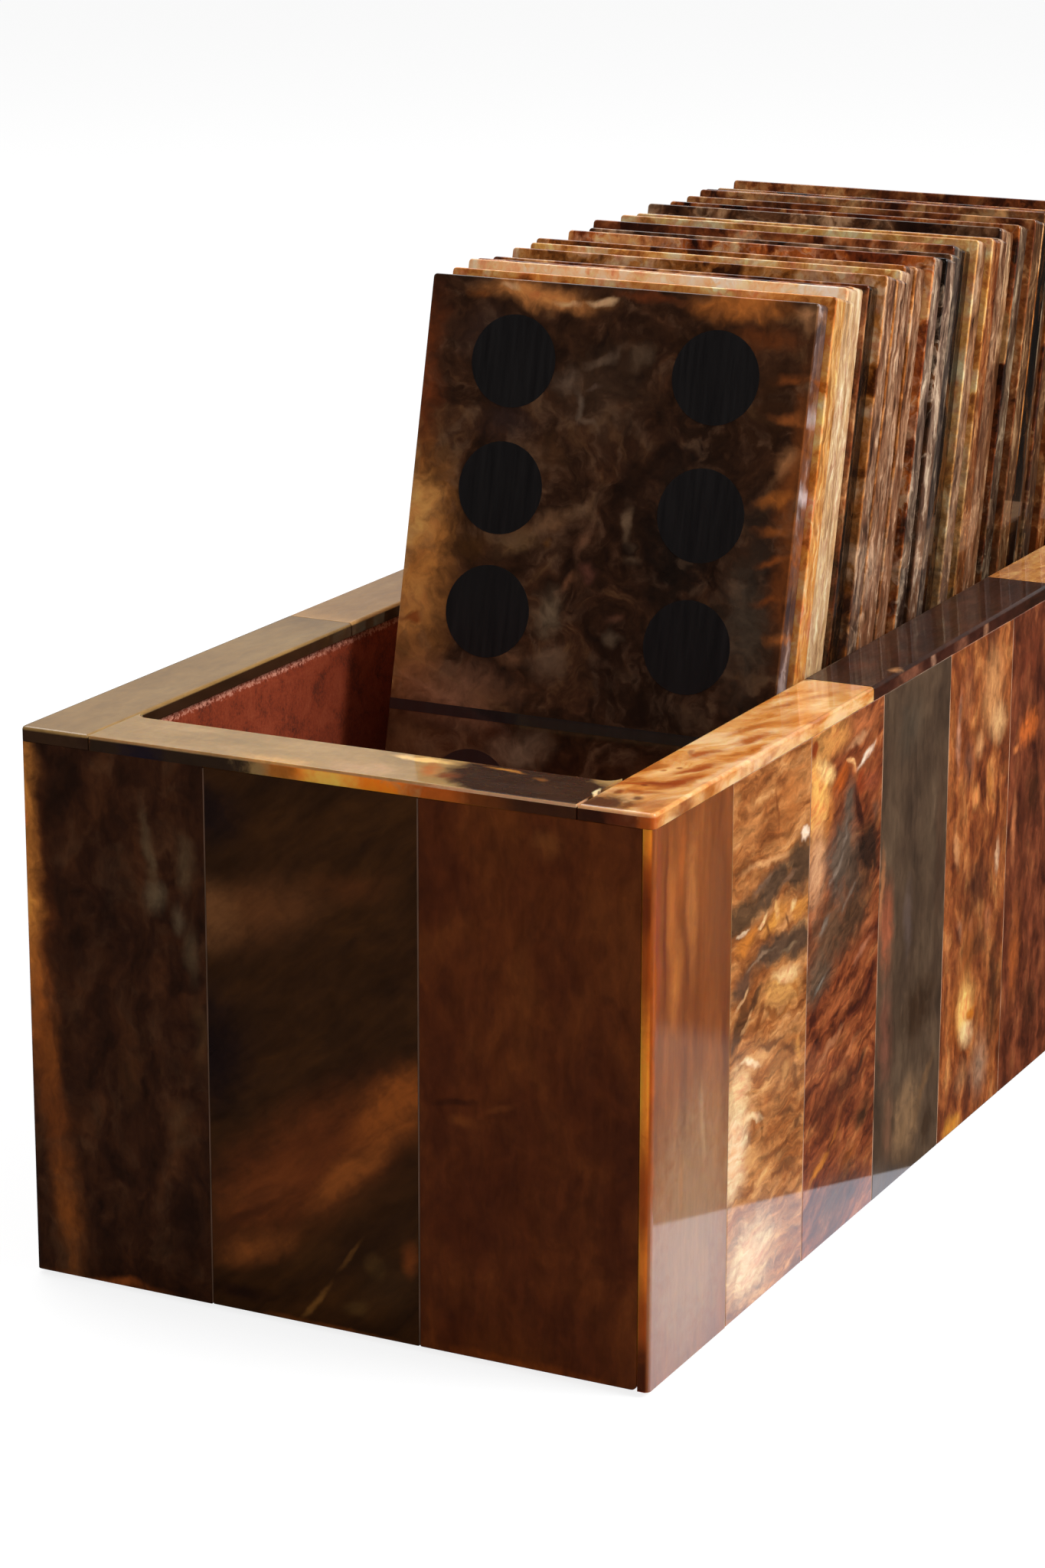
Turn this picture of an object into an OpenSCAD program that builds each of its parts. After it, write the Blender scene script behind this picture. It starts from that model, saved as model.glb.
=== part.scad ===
// Open box for a double-six domino set. Plywood walls are clad in strips of polished horn and
// capped with a horn rim, the inside is lined with suede, and the 28 inlaid horn tiles stand on
// end in one row that leans back against the rim. All sizes are in millimetres.
// X runs across the box, Y along it from front to back, and Z up from the surface it stands on.

/* [Box] */
// Width of the box across its horn strips
box_w = 100; // [94:0.5:130]
// Length of the box over its horn strips
box_l = 214; // [200:0.5:240]
// Height of the rim's top above the surface that the box stands on
box_h = 83.8; // [60:0.1:100]
// Thickness of the plywood wall boards
wall_t = 8; // [5:0.25:10]
// Thickness of the plywood base board
base_t = 3.8; // [2:0.1:6]
// Thickness of the felt under the base board
felt_t = 0.8; // [0.6:0.1:2]
// How far the felt stays back from the edge of the base board
felt_inset = 1.5; // [0.5:0.5:5]
// Thickness of the suede lining
lining_t = 0.8; // [0.5:0.1:1.5]

/* [Horn strips] */
// Thickness of the horn strips
strip_t = 1.7; // [1:0.1:2.5]
// Width of the strips on the two ends, except the corner one, which fills what is left
end_strip_w = 34; // [26:0.5:40]
// Width of the corner strip on each long side
corner_strip_w = 25.9; // [18:0.1:28]
// Width of the other strips on the long sides, except the last, which fills what is left
side_strip_w = 27.7; // [22:0.1:28]
// Width of the glue line between neighbouring pieces of horn
glue_line = 0.2; // [0.1:0.05:0.4]
// Radius of the outer corners of the cladding
corner_r = 0.9; // [0.3:0.1:1.5]

/* [Rim] */
// Thickness of the rim
rim_t = 2.2; // [1.4:0.1:4]
// How far the rim stands in past the lining on the long sides
side_lip = 0.9; // [0.3:0.1:2]
// How far the rim stands in past the lining on the two ends
end_lip = 1.7; // [0.3:0.1:3]
// Length of the rim's side pieces, except the last, which fills what is left
rim_piece_l = 77; // [60:0.5:90]
// Radius of the rounded corners of the rim's opening
opening_r = 2.2; // [0.5:0.1:5]

/* [Tiles] */
// Width of a tile
tile_w = 65; // [56:0.5:68]
// Length of a tile
tile_l = 135; // [124:0.5:140]
// Thickness of a tile
tile_t = 4.1; // [3:0.1:4.5]
// Radius of a tile's four corners
tile_corner_r = 1.2; // [0.4:0.1:3]
// Angle by which the tiles lean back from upright
lean = 13.2; // [6:0.1:14]
// Gap between neighbouring tiles, square to their faces
tile_gap = 0.2; // [0.15:0.05:0.3]
// Gap between the last tile and the edge of the rim that it leans on
rim_gap = 0.3; // [0.2:0.05:1]
// Gap between the tiles' lowest edges and the suede
heel_gap = 0.1; // [0.05:0.05:0.5]
// How far the front tile stands to the right of the middle
front_shift = 1.5; // [-2:0.1:2]
// How far the back tile stands to the left of the middle
back_shift = 1.1; // [-2:0.1:2]
// How far a tile may stand out of line with its neighbours
row_wander = 1.2; // [0:0.1:1.5]
// How far a hand-cut tile may be longer or shorter than the others
length_spread = 0.6; // [0:0.1:1]

/* [Inlays] */
// Diameter of a pip
pip_d = 14.4; // [9:0.1:16]
// Distance from a tile's long edges to the nearest columns of pips
pip_side = 15.4; // [10:0.1:20]
// Distance from the top of each half of a tile to its first row of pips
pip_head = 12.4; // [10:0.1:15]
// Distance from the last row of pips to the foot of each half of a tile
pip_foot = 15.1; // [11:0.1:16]
// How far a hand-set pip may sit above or below its row
pip_drift = 0.95; // [0:0.05:1.2]
// Width of the bar across the middle of a tile
bar_w = 1.7; // [1:0.1:2.5]
// Depth of the pips and the bar in the tile's face
inlay_t = 1.2; // [0.6:0.1:2]
// Gap around and under each inlay, filled with glue
inlay_gap = 0.05; // [0.03:0.01:0.1]

/* [Hidden] */
CASE_NODES = [
    "base_felt", "base_board",
    "front_board", "back_board", "left_board", "right_board",
    "floor_lining", "front_lining", "back_lining", "left_lining", "right_lining",
    "front_strip_1", "front_strip_2", "front_strip_3",
    "back_strips", "left_strips",
    "right_strip_1", "right_strip_2", "right_strip_3", "right_strip_4",
    "right_strip_5", "right_strip_6", "right_strip_7", "right_strip_8",
    "rim_front", "rim_back",
    "rim_left_1", "rim_left_2", "rim_left_3",
    "rim_right_1", "rim_right_2", "rim_right_3"
];
highest = 6;
tile_set = [for (a = [highest:-1:0], b = [a:-1:0]) [a, b]];
tile_names = [for (t = tile_set) str("tile_", t[0], "_", t[1])];

end_strips = 3;
side_strips = 8;
rim_pieces = 3;
arc_steps = 5;
$fn = 48;

// Faces of the box's layers, from the outside in
side_x = box_w / 2;
end_y = box_l / 2;
board_x = side_x - strip_t;
board_y = end_y - strip_t;
inner_x = board_x - wall_t;
inner_y = board_y - wall_t;
lined_x = inner_x - lining_t;
lined_y = inner_y - lining_t;
opening_x = lined_x - side_lip;
opening_y = lined_y - end_lip;

// Levels
base_z = felt_t + base_t;
floor_z = base_z + lining_t;
wall_top = box_h - rim_t;

// The row of tiles, set out from the one that leans on the rim
count = len(tile_set);
heel_z = floor_z + heel_gap;
row_step = (tile_t + tile_gap) / cos(lean);
last_heel_y = opening_y - rim_gap / cos(lean) - (box_h - heel_z) * tan(lean);

// Angles whose sines spread the small differences of hand work over the tiles and pips
wander_turn = 68;
spread_turn = 137;
drift_turn = 85;
drift_start = 10;
drift_skip = 5;

// Colours of the pieces
felt_colour = "#2a1d17";
plywood_colour = "#b08a5c";
suede_colour = "#8a3b25";
pip_colour = "#171415";
front_colours = ["#3a2a1c", "#2f2415", "#5a3018"];
side_colours = ["#8a5636", "#c08a52", "#9a5c30", "#453c2d", "#a5562a", "#6b3420", "#8a5a38", "#4a3526"];
back_colours = ["#5a3a24", "#8a5a34", "#3a2a20"];
rim_end_colour = "#7d5f40";
rim_colours = ["#cf9a5e", "#4d3a2e", "#d2a066"];
rim_left_colours = ["#8a6a48", "#a27c52", "#5a4230"];
tile_colours = ["#6b4526", "#a87638", "#d8b47c", "#2c1f17", "#7c5233", "#4b372b", "#9c7350"];

// Solid between two opposite corners
module block(low, high) {
    translate(low) cube(high - low);
}

// Quarter circle inside a corner, or the bare corner where the radius is nil
function quarter(p, way, r, from) =
    r > 0
        ? [for (k = [0:arc_steps])
            let (turn = from + 90 * k / arc_steps)
            [p[0] + r * (way[0] + cos(turn)), p[1] + r * (way[1] + sin(turn))]]
        : [p];

// Plate between two corners with a radius for each corner of its outline,
// counter-clockwise from the lowest
module plate(low, high, radii) {
    translate([0, 0, low[2]])
        linear_extrude(high[2] - low[2])
            polygon(concat(
                quarter([low[0], low[1]], [1, 1], radii[0], 180),
                quarter([high[0], low[1]], [-1, 1], radii[1], 270),
                quarter([high[0], high[1]], [-1, -1], radii[2], 0),
                quarter([low[0], high[1]], [1, -1], radii[3], 90)
            ));
}

// Base and walls

module base_felt() {
    color(felt_colour)
        block(
            [felt_inset - board_x, felt_inset - board_y, 0],
            [board_x - felt_inset, board_y - felt_inset, felt_t]
        );
}

module base_board() {
    color(plywood_colour)
        block([-board_x, -board_y, felt_t], [board_x, board_y, base_z]);
}

module end_board(side) {
    near = side > 0 ? inner_y : -board_y;
    color(plywood_colour)
        block([-inner_x, near, base_z], [inner_x, near + wall_t, wall_top]);
}

module side_board(side) {
    near = side > 0 ? inner_x : -board_x;
    color(plywood_colour)
        block([near, -board_y, base_z], [near + wall_t, board_y, wall_top]);
}

// Suede lining

module floor_lining() {
    color(suede_colour)
        block([-inner_x, -inner_y, base_z], [inner_x, inner_y, floor_z]);
}

module end_lining(side) {
    near = side > 0 ? lined_y : -inner_y;
    color(suede_colour)
        block([-lined_x, near, floor_z], [lined_x, near + lining_t, wall_top]);
}

module side_lining(side) {
    near = side > 0 ? lined_x : -inner_x;
    color(suede_colour)
        block([near, -inner_y, floor_z], [near + lining_t, inner_y, wall_top]);
}

// Horn strips. Each side's strips start flush with a corner, which they cover, and stop against
// the first strip of the next side. The back is the front turned half round, and the left side
// is the right side turned half round.

// Seams along a face of a given length, where the first and the other strips have set widths
// and the last one fills what is left
function seams(length, first, width, n) =
    [for (k = [0:n]) k == 0 ? 0 : k == n ? length : first + (k - 1) * width];

end_run = side_x + board_x;
side_run = end_y + board_y;
end_seams = seams(end_run, end_run - 2 * end_strip_w, end_strip_w, end_strips);
side_seams = seams(side_run, corner_strip_w, side_strip_w, side_strips);

module end_strip(k) {
    first = k == 1;
    plate(
        [end_seams[k - 1] - side_x + (first ? 0 : glue_line / 2), -end_y, felt_t],
        [end_seams[k] - side_x - glue_line / 2, -board_y, wall_top],
        [first ? corner_r : 0, 0, 0, 0]
    );
}

module side_strip(k) {
    first = k == 1;
    plate(
        [board_x, side_seams[k - 1] - end_y + (first ? 0 : glue_line / 2), felt_t],
        [side_x, side_seams[k] - end_y - glue_line / 2, wall_top],
        [0, first ? corner_r : 0, 0, 0]
    );
}

module front_strip(k) {
    color(front_colours[k - 1]) end_strip(k);
}

module back_strips() {
    rotate(180)
        for (k = [1:end_strips])
            color(back_colours[k - 1]) end_strip(k);
}

module right_strip(k) {
    color(side_colours[k - 1]) side_strip(k);
}

module left_strips() {
    rotate(180)
        for (k = [1:side_strips])
            color(side_colours[k - 1]) side_strip(k);
}

// Rim. The side pieces run the whole length and the end pieces fit between them.
// Each end piece carries the rounded corners of the opening.

module rim_end(side) {
    half = opening_x - glue_line;
    round_x = half - opening_r;
    round_y = opening_y - opening_r;
    right_round = [for (k = [0:arc_steps])
        let (turn = 90 * k / arc_steps)
        [round_x + opening_r * cos(turn), side * (round_y + opening_r * sin(turn))]];
    left_round = [for (k = [arc_steps:-1:0]) [-right_round[k][0], right_round[k][1]]];
    color(rim_end_colour)
        translate([0, 0, wall_top])
            linear_extrude(rim_t)
                polygon(concat([[-half, side * end_y], [half, side * end_y]], right_round, left_round));
}

module rim_side(side, k, colours) {
    near = side > 0 ? opening_x : -side_x;
    first = k == 1;
    last = k == rim_pieces;
    start = (k - 1) * rim_piece_l - end_y + (first ? 0 : glue_line / 2);
    end = last ? end_y : k * rim_piece_l - end_y - glue_line / 2;
    right = side > 0 ? corner_r : 0;
    left = side > 0 ? 0 : corner_r;
    color(colours[k - 1])
        plate(
            [near, start, wall_top],
            [near + side_x - opening_x, end, box_h],
            [first ? left : 0, first ? right : 0, last ? right : 0, last ? left : 0]
        );
}

// Tiles

// Columns and rows of the pips for a number, as steps from the middle of a half tile
function pips(n) = concat(
    n % 2 == 1 ? [[0, 0]] : [],
    n >= 2 ? [[-1, 1], [1, -1]] : [],
    n >= 4 ? [[1, 1], [-1, -1]] : [],
    n == 6 ? [[-1, 0], [1, 0]] : []
);

function tile_length(i) = tile_l + length_spread * sin(spread_turn * i);

// How far the k-th pip of a half sits below its row
function drift(i, half, k) =
    pip_drift * sin(drift_turn * (k + highest * half + drift_skip * i) + drift_start);

// Centres of a tile's pips on its face, the upper half first
function pip_centres(i) = [
    for (half = [0, 1])
        let (
            spots = pips(tile_set[i][half]),
            top = tile_length(i) * (2 - half) / 2,
            row = (tile_length(i) / 2 - pip_head - pip_foot) / 2
        )
        for (k = [0:1:len(spots) - 1])
            [
                spots[k][0] * (tile_w / 2 - pip_side),
                top - pip_head - row * (1 - spots[k][1]) - drift(i, half, k)
            ]
];

// The slab and the inlays of a tile flat on its back, with its lower edge on the X axis

module slab(i) {
    length = tile_length(i);
    bed_z = tile_t - inlay_t - inlay_gap;
    bar_half = bar_w / 2 + inlay_gap;
    difference() {
        plate(
            [-tile_w / 2, 0, 0],
            [tile_w / 2, length, tile_t],
            [tile_corner_r, tile_corner_r, tile_corner_r, tile_corner_r]
        );
        for (p = pip_centres(i))
            translate([p[0], p[1], bed_z]) cylinder(d = pip_d + 2 * inlay_gap, h = tile_t);
        block([-tile_w, length / 2 - bar_half, bed_z], [tile_w, length / 2 + bar_half, 2 * tile_t]);
    }
}

module inlays(i) {
    length = tile_length(i);
    bed_z = tile_t - inlay_t;
    for (p = pip_centres(i))
        translate([p[0], p[1], bed_z]) cylinder(d = pip_d, h = inlay_t);
    block([-tile_w / 2, (length - bar_w) / 2, bed_z], [tile_w / 2, (length + bar_w) / 2, tile_t]);
}

module tile(i) {
    along = i / (count - 1);
    shift = front_shift * (1 - along) - back_shift * along + row_wander * sin(wander_turn * i);
    translate([shift, last_heel_y - (count - 1 - i) * row_step, heel_z])
        rotate([90 - lean, 0, 0]) {
            color(tile_colours[i % len(tile_colours)]) slab(i);
            color(pip_colour) inlays(i);
        }
}

base_felt();
base_board();
end_board(-1);  // front_board
end_board(1);  // back_board
side_board(-1);  // left_board
side_board(1);  // right_board
floor_lining();
end_lining(-1);  // front_lining
end_lining(1);  // back_lining
side_lining(-1);  // left_lining
side_lining(1);  // right_lining
for (k = [1:end_strips])
    front_strip(k);
back_strips();
left_strips();
for (k = [1:side_strips])
    right_strip(k);
rim_end(-1);  // rim_front
rim_end(1);  // rim_back
for (k = [1:rim_pieces])
    rim_side(-1, k, rim_left_colours);
for (k = [1:rim_pieces])
    rim_side(1, k, rim_colours);
for (i = [0:count - 1])
    tile(i);
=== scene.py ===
import math

import bmesh
import bpy
from mathutils import Matrix, Vector, noise


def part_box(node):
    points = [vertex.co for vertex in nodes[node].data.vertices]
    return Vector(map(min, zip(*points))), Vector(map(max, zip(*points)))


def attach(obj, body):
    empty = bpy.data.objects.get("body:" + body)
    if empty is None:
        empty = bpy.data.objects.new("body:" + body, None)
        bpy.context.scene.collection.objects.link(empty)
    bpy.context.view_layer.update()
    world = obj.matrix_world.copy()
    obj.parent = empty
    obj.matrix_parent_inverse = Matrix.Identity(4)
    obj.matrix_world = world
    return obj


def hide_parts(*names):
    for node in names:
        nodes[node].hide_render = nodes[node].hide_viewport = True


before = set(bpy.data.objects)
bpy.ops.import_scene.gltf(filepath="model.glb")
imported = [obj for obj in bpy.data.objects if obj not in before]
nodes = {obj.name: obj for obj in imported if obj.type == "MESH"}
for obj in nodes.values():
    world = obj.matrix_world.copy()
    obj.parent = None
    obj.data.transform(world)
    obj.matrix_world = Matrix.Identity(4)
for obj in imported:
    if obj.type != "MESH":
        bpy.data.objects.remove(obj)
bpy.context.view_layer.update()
mm = 0.001
touching = 1e-6             # points that are no further apart are in one place, m
sharp = 0.7                 # edges that turn by more than this angle are eased, rad

boxSize = {
    "halfWidth": 0.05,      # of the cladding's outside, m
    "halfLength": 0.107,
    "height": 0.0838,
}


def linear(hexText):
    # sRGB hex to the linear values that shader sockets want
    values = [int(hexText[i:i + 2], 16) / 255 for i in (1, 3, 5)]
    return [v / 12.92 if v <= 0.04045 else ((v + 0.055) / 1.055) ** 2.4 for v in values] + [1]


def addNode(tree, kind, settings=None, links=None):
    # adds one node; a link is another node, an output socket or a plain value
    node = tree.nodes.new(kind)
    for name, value in (settings or {}).items():
        if name == "stops":
            while len(node.color_ramp.elements) < len(value):
                node.color_ramp.elements.new(0.5)
            for element, (position, colour) in zip(node.color_ramp.elements, value):
                element.position = position
                element.color = linear(colour)
        else:
            setattr(node, name, value)
    for name, value in (links or {}).items():
        if isinstance(name, int):
            socket = node.inputs[name]
        else:
            socket = next(s for s in node.inputs if s.name == name and not s.is_unavailable)
        if isinstance(value, bpy.types.Node):
            value = next(s for s in value.outputs if not s.is_unavailable)
        if isinstance(value, bpy.types.NodeSocket):
            tree.links.new(value, socket)
        elif isinstance(value, str):
            socket.default_value = linear(value)
        else:
            socket.default_value = value
    return node


def startMaterial(name):
    material = bpy.data.materials.new(name)
    material.use_nodes = True
    tree = material.node_tree
    tree.nodes.clear()
    return material, tree, addNode(tree, "ShaderNodeTexCoord").outputs["Object"]


def finishMaterial(material, colour, pattern, roughness, bump, shine):
    # roughness (least, most) and relief (strength, depth in mm) follow one pattern
    tree = material.node_tree
    rough = addNode(tree, "ShaderNodeMapRange", None, {
        "Value": pattern, "From Min": 0.3, "From Max": 0.7, "To Min": roughness[0],
        "To Max": roughness[1]})
    relief = addNode(tree, "ShaderNodeBump", None, {
        "Strength": bump[0], "Distance": bump[1] * mm, "Height": pattern})
    shader = addNode(tree, "ShaderNodeBsdfPrincipled", None, {
        "Base Color": colour, "Roughness": rough, "Normal": relief, **shine})
    addNode(tree, "ShaderNodeOutputMaterial", None, {"Surface": shader})
    return material


def placePiece(bm, name, body, materials, replaced=()):
    mesh = bpy.data.meshes.new(name)
    bm.to_mesh(mesh)
    bm.free()
    piece = bpy.data.objects.new(name, mesh)
    bpy.context.scene.collection.objects.link(piece)
    for material in materials:
        mesh.materials.append(material)
    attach(piece, body)
    if replaced:
        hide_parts(*replaced)
    return piece


def layPatch(tree, colour, flow, tear, only, x, z, width, height, hue, amount, edge=1, turn=0):
    # one blotch or band over the colour: its middle and half sizes in mm, its hue and strength,
    # how soft its torn edge is (0 to 1) and how it is turned, in degrees
    spot = addNode(tree, "ShaderNodeMapping", {"vector_type": "TEXTURE"}, {
        "Vector": flow, "Location": (x, 0, z), "Rotation": (0, -math.radians(turn), 0),
        "Scale": (width, 1000, height)})
    ball = addNode(tree, "ShaderNodeTexGradient", {"gradient_type": "SPHERICAL"}, {"Vector": spot})
    torn = addNode(tree, "ShaderNodeMath", {"operation": "MULTIPLY"}, {0: ball, 1: tear})
    share = addNode(tree, "ShaderNodeMapRange", {"interpolation_type": "SMOOTHSTEP"}, {
        "Value": torn, "From Min": 0, "From Max": edge, "To Min": 0, "To Max": amount})
    if only:
        share = addNode(tree, "ShaderNodeMath", {"operation": "MULTIPLY"}, {0: share, 1: only})
    return addNode(tree, "ShaderNodeMix", {"data_type": "RGBA"}, {
        "Factor": share, "A": colour, "B": hue})


horn = {
    "frayNoise": 1.8,           # size of the small swirls, mm
    "tearNoise": 2.4,           # size of the notches in a patch's edge
    "edgeDepth": (0.3, 0.6),    # where the face's layers give way to the edge's
    "arrisDepth": (0.3, 0.24),  # middle and half width of the eased edge
    "streak": (0.6, 0.6, 14),   # sanding streaks
}


def hornMaterial(name, look):
    # cow horn plate, sawn, sanded, polished and lacquered: cloudy layers of brown and amber
    # that run with the grain, under a clear, sharp gloss
    material, tree, point = startMaterial(name)
    seed = look["seed"]
    # millimetres on the piece's own face: x across, y into the plate, z along
    place = addNode(tree, "ShaderNodeMapping", {"vector_type": "TEXTURE"}, {
        "Vector": point, "Location": look["origin"], "Rotation": look["turn"],
        "Scale": (mm, mm, mm)})
    # wide swirls bend everything, small ones fray its edges
    flow = place
    for size, reach in (
            (look["swirlSize"], look["swirl"]), (horn["frayNoise"], look.get("fray", 1))):
        bend = addNode(tree, "ShaderNodeTexNoise", {"noise_dimensions": "4D"}, {
            "Vector": place, "W": seed + size, "Scale": 1 / size, "Detail": 3, "Roughness": 0.6})
        away = addNode(tree, "ShaderNodeVectorMath", {"operation": "SUBTRACT"}, {
            0: bend.outputs["Color"], 1: (0.5, 0.5, 0.5)})
        flow = addNode(tree, "ShaderNodeVectorMath", {"operation": "MULTIPLY_ADD"}, {
            0: away, 1: (reach, reach, reach), 2: flow})
    # fibres are about 0.4 mm wide and drawn a little coarser, so that they show
    grainTurn = look.get("grainTurn", 0)
    patterns = {}
    for label, turn, size, detail, curl in (
            ("clouds", grainTurn, look["grain"], 6, look.get("curl", 0.3)),
            ("tear", 0, [horn["tearNoise"]] * 3, 4, 0.5),
            ("mottle", grainTurn, look.get("mottleSize", (1.6, 1.6, 3.4)), 4, 0.6),
            ("fibre", look.get("fibreTurn", 0), look.get("fibreSize", (0.7, 0.7, 9)), 3, 0)):
        space = addNode(tree, "ShaderNodeMapping", {"vector_type": "TEXTURE"}, {
            "Vector": flow, "Rotation": (0, -math.radians(turn), 0), "Scale": size})
        patterns[label] = addNode(tree, "ShaderNodeTexNoise", {"noise_dimensions": "4D"}, {
            "Vector": space, "W": seed + 1.7 * len(patterns), "Scale": 1, "Detail": detail,
            "Roughness": 0.6, "Distortion": curl})
    clouds = patterns["clouds"]
    depth = addNode(tree, "ShaderNodeMath", {"operation": "ABSOLUTE"}, {
        0: addNode(tree, "ShaderNodeSeparateXYZ", None, {"Vector": place}).outputs["Y"]})
    onEdge = addNode(tree, "ShaderNodeMapRange", {"interpolation_type": "SMOOTHSTEP"}, {
        "Value": depth, "From Min": horn["edgeDepth"][0], "From Max": horn["edgeDepth"][1],
        "To Min": 0, "To Max": 1})
    # the sawn edge may cut through other layers than the face
    colour = None
    for key, (first, last) in (
            ("colours", look.get("rampEnds", (0.34, 0.66))), ("sideColours", (0.36, 0.64))):
        hues = look.get(key)
        if hues:
            step = (last - first) / (len(hues) - 1)
            ramp = addNode(tree, "ShaderNodeValToRGB", {
                "stops": [(first + step * k, hue) for k, hue in enumerate(hues)]}, {"Fac": clouds})
            colour = ramp if colour is None else addNode(
                tree, "ShaderNodeMix", {"data_type": "RGBA"}, {
                    "Factor": onEdge, "A": colour, "B": ramp})
    # marks that belong to this very piece, on its face, on its edge and on the eased edge between
    # the two:
    # most are the horn's own colour, but the bright orange on some sawn edges is painted glow of
    # light through the horn, and the pale line on the eased edge is a painted highlight
    tearing = look.get("torn", 2.4)
    tear = addNode(tree, "ShaderNodeMath", {"operation": "MULTIPLY_ADD"}, {
        0: patterns["tear"], 1: tearing, 2: 1 - tearing / 2})
    for patch in look.get("patches", []):
        colour = layPatch(tree, colour, flow, tear, None, *patch)
    for patch in look.get("edgePatches", []):
        colour = layPatch(tree, colour, flow, tear, onEdge, *patch)
    # painted highlight: a pale line along the eased edge
    if "paintedArrisHighlight" in look:
        onArris = addNode(tree, "ShaderNodeMath", {"operation": "COMPARE"}, {
            0: depth, 1: horn["arrisDepth"][0], 2: horn["arrisDepth"][1]})
        colour = layPatch(tree, colour, flow, tear, onArris, *look["paintedArrisHighlight"])
    if "wisps" in look:
        # smoky threads where two layers meet
        hue, size, width, amount = look["wisps"]
        web = addNode(tree, "ShaderNodeTexNoise", {"noise_dimensions": "4D"}, {
            "Vector": flow, "W": seed + 8.3, "Scale": 1 / size, "Detail": 3, "Roughness": 0.5,
            "Distortion": 1.4})
        middle = addNode(tree, "ShaderNodeMath", {"operation": "SUBTRACT"}, {0: web, 1: 0.5})
        apart = addNode(tree, "ShaderNodeMath", {"operation": "ABSOLUTE"}, {0: middle})
        thread = addNode(tree, "ShaderNodeMapRange", {"interpolation_type": "SMOOTHSTEP"}, {
            "Value": apart, "From Min": 0, "From Max": width, "To Min": amount, "To Max": 0})
        where = addNode(tree, "ShaderNodeMapRange", {"interpolation_type": "SMOOTHSTEP"}, {
            "Value": clouds, "From Min": 0.44, "From Max": 0.6, "To Min": 0, "To Max": 1})
        factor = addNode(tree, "ShaderNodeMath", {"operation": "MULTIPLY"}, {0: thread, 1: where})
        colour = addNode(tree, "ShaderNodeMix", {"data_type": "RGBA"}, {
            "Factor": factor, "A": colour, "B": hue})
    colour = addNode(tree, "ShaderNodeMix", {"data_type": "RGBA", "blend_type": "MULTIPLY"}, {
        "Factor": 1, "A": colour, "B": (*look.get("stain", (1, 1, 1)), 1)})
    for label, amount in (("mottle", look.get("mottle", 0.4)), ("fibre", look.get("fibre", 0.25))):
        strong = addNode(tree, "ShaderNodeMapRange", None, {
            "Value": patterns[label], "From Min": 0.32, "From Max": 0.68})
        colour = addNode(tree, "ShaderNodeMix", {"data_type": "RGBA", "blend_type": "OVERLAY"}, {
            "Factor": amount, "A": colour, "B": strong})
    # polish: hardly any relief, and a lacquer with faint sanding streaks left under it
    streakSpace = addNode(tree, "ShaderNodeMapping", {"vector_type": "TEXTURE"}, {
        "Vector": place, "Scale": horn["streak"]})
    streak = addNode(tree, "ShaderNodeTexNoise", None, {
        "Vector": streakSpace, "Scale": 1, "Detail": 2, "Roughness": 0.5})
    lacquer = addNode(tree, "ShaderNodeBump", None, {
        "Strength": 0.5, "Distance": 0.012 * mm, "Height": streak})
    return finishMaterial(material, colour, patterns["fibre"], (0.34, 0.5), (0.5, 0.02), {
        "IOR": 1.45, "Specular IOR Level": 0.1, "Subsurface Weight": look.get("glow", 0),
        "Subsurface Scale": 2.5 * mm, "Subsurface Radius": (1, 0.35, 0.08),
        "Coat Weight": look.get("lacquer", 1), "Coat Roughness": 0.045, "Coat IOR": 1.5,
        "Coat Normal": lacquer})


# how each face's own millimetres are laid out: a point on it and how it is turned
quarter = math.radians(90)
frontFace = {"origin": (0, -boxSize["halfLength"], 0), "turn": (0, 0, 0)}
rightFace = {"origin": (boxSize["halfWidth"], 0, 0), "turn": (0, 0, quarter)}
backFace = {"origin": (0, boxSize["halfLength"], 0), "turn": (0, 0, 2 * quarter)}
leftFace = {"origin": (-boxSize["halfWidth"], 0, 0), "turn": (0, 0, -quarter)}
topFace = {"origin": (0, 0, boxSize["height"]), "turn": (-quarter, 0, 0)}


def addBlock(bm, low, high, turn=0):
    # a block between two corners, then turned about the upright axis
    block = bmesh.ops.create_cube(bm, size=1)["verts"]
    bmesh.ops.scale(bm, vec=high - low, verts=block)
    bmesh.ops.translate(bm, vec=(low + high) / 2, verts=block)
    bmesh.ops.rotate(bm, verts=block, cent=(0, 0, 0), matrix=Matrix.Rotation(turn, 3, "Z"))
    return block


def onSide(vert, side, low, high):
    axis = "xyz".index(side[0])
    level = high[axis] if side[1] == "+" else low[axis]
    return abs(vert.co[axis] - level) < touching


def roundEdges(bm, edges, radius, segments, smooth=True):
    made = bmesh.ops.bevel(
        bm, geom=edges, offset=radius, offset_type="OFFSET", segments=segments, profile=0.5,
        affect="EDGES", clamp_overlap=True, material=-1)
    for face in made["faces"]:
        face.smooth = smooth
    return made["verts"]


def sharpEdges(bm):
    return [e for e in bm.edges if len(e.link_faces) == 2 and e.calc_face_angle(0) > sharp]


def roundCorner(bm, low, high, sides, radius):
    edges = [e for e in bm.edges
             if all(onSide(v, side, low, high) for v in e.verts for side in sides)]
    roundEdges(bm, edges, radius, 5)


print("stage: horn strips")

strips = {
    "arris": 0.16,          # eased edges of each strip, mm
    "corner": 0.9,          # outer corner of the box, mm
    "foot": 0.9,            # rounded lower corners at the ends of a side, mm
}

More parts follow.
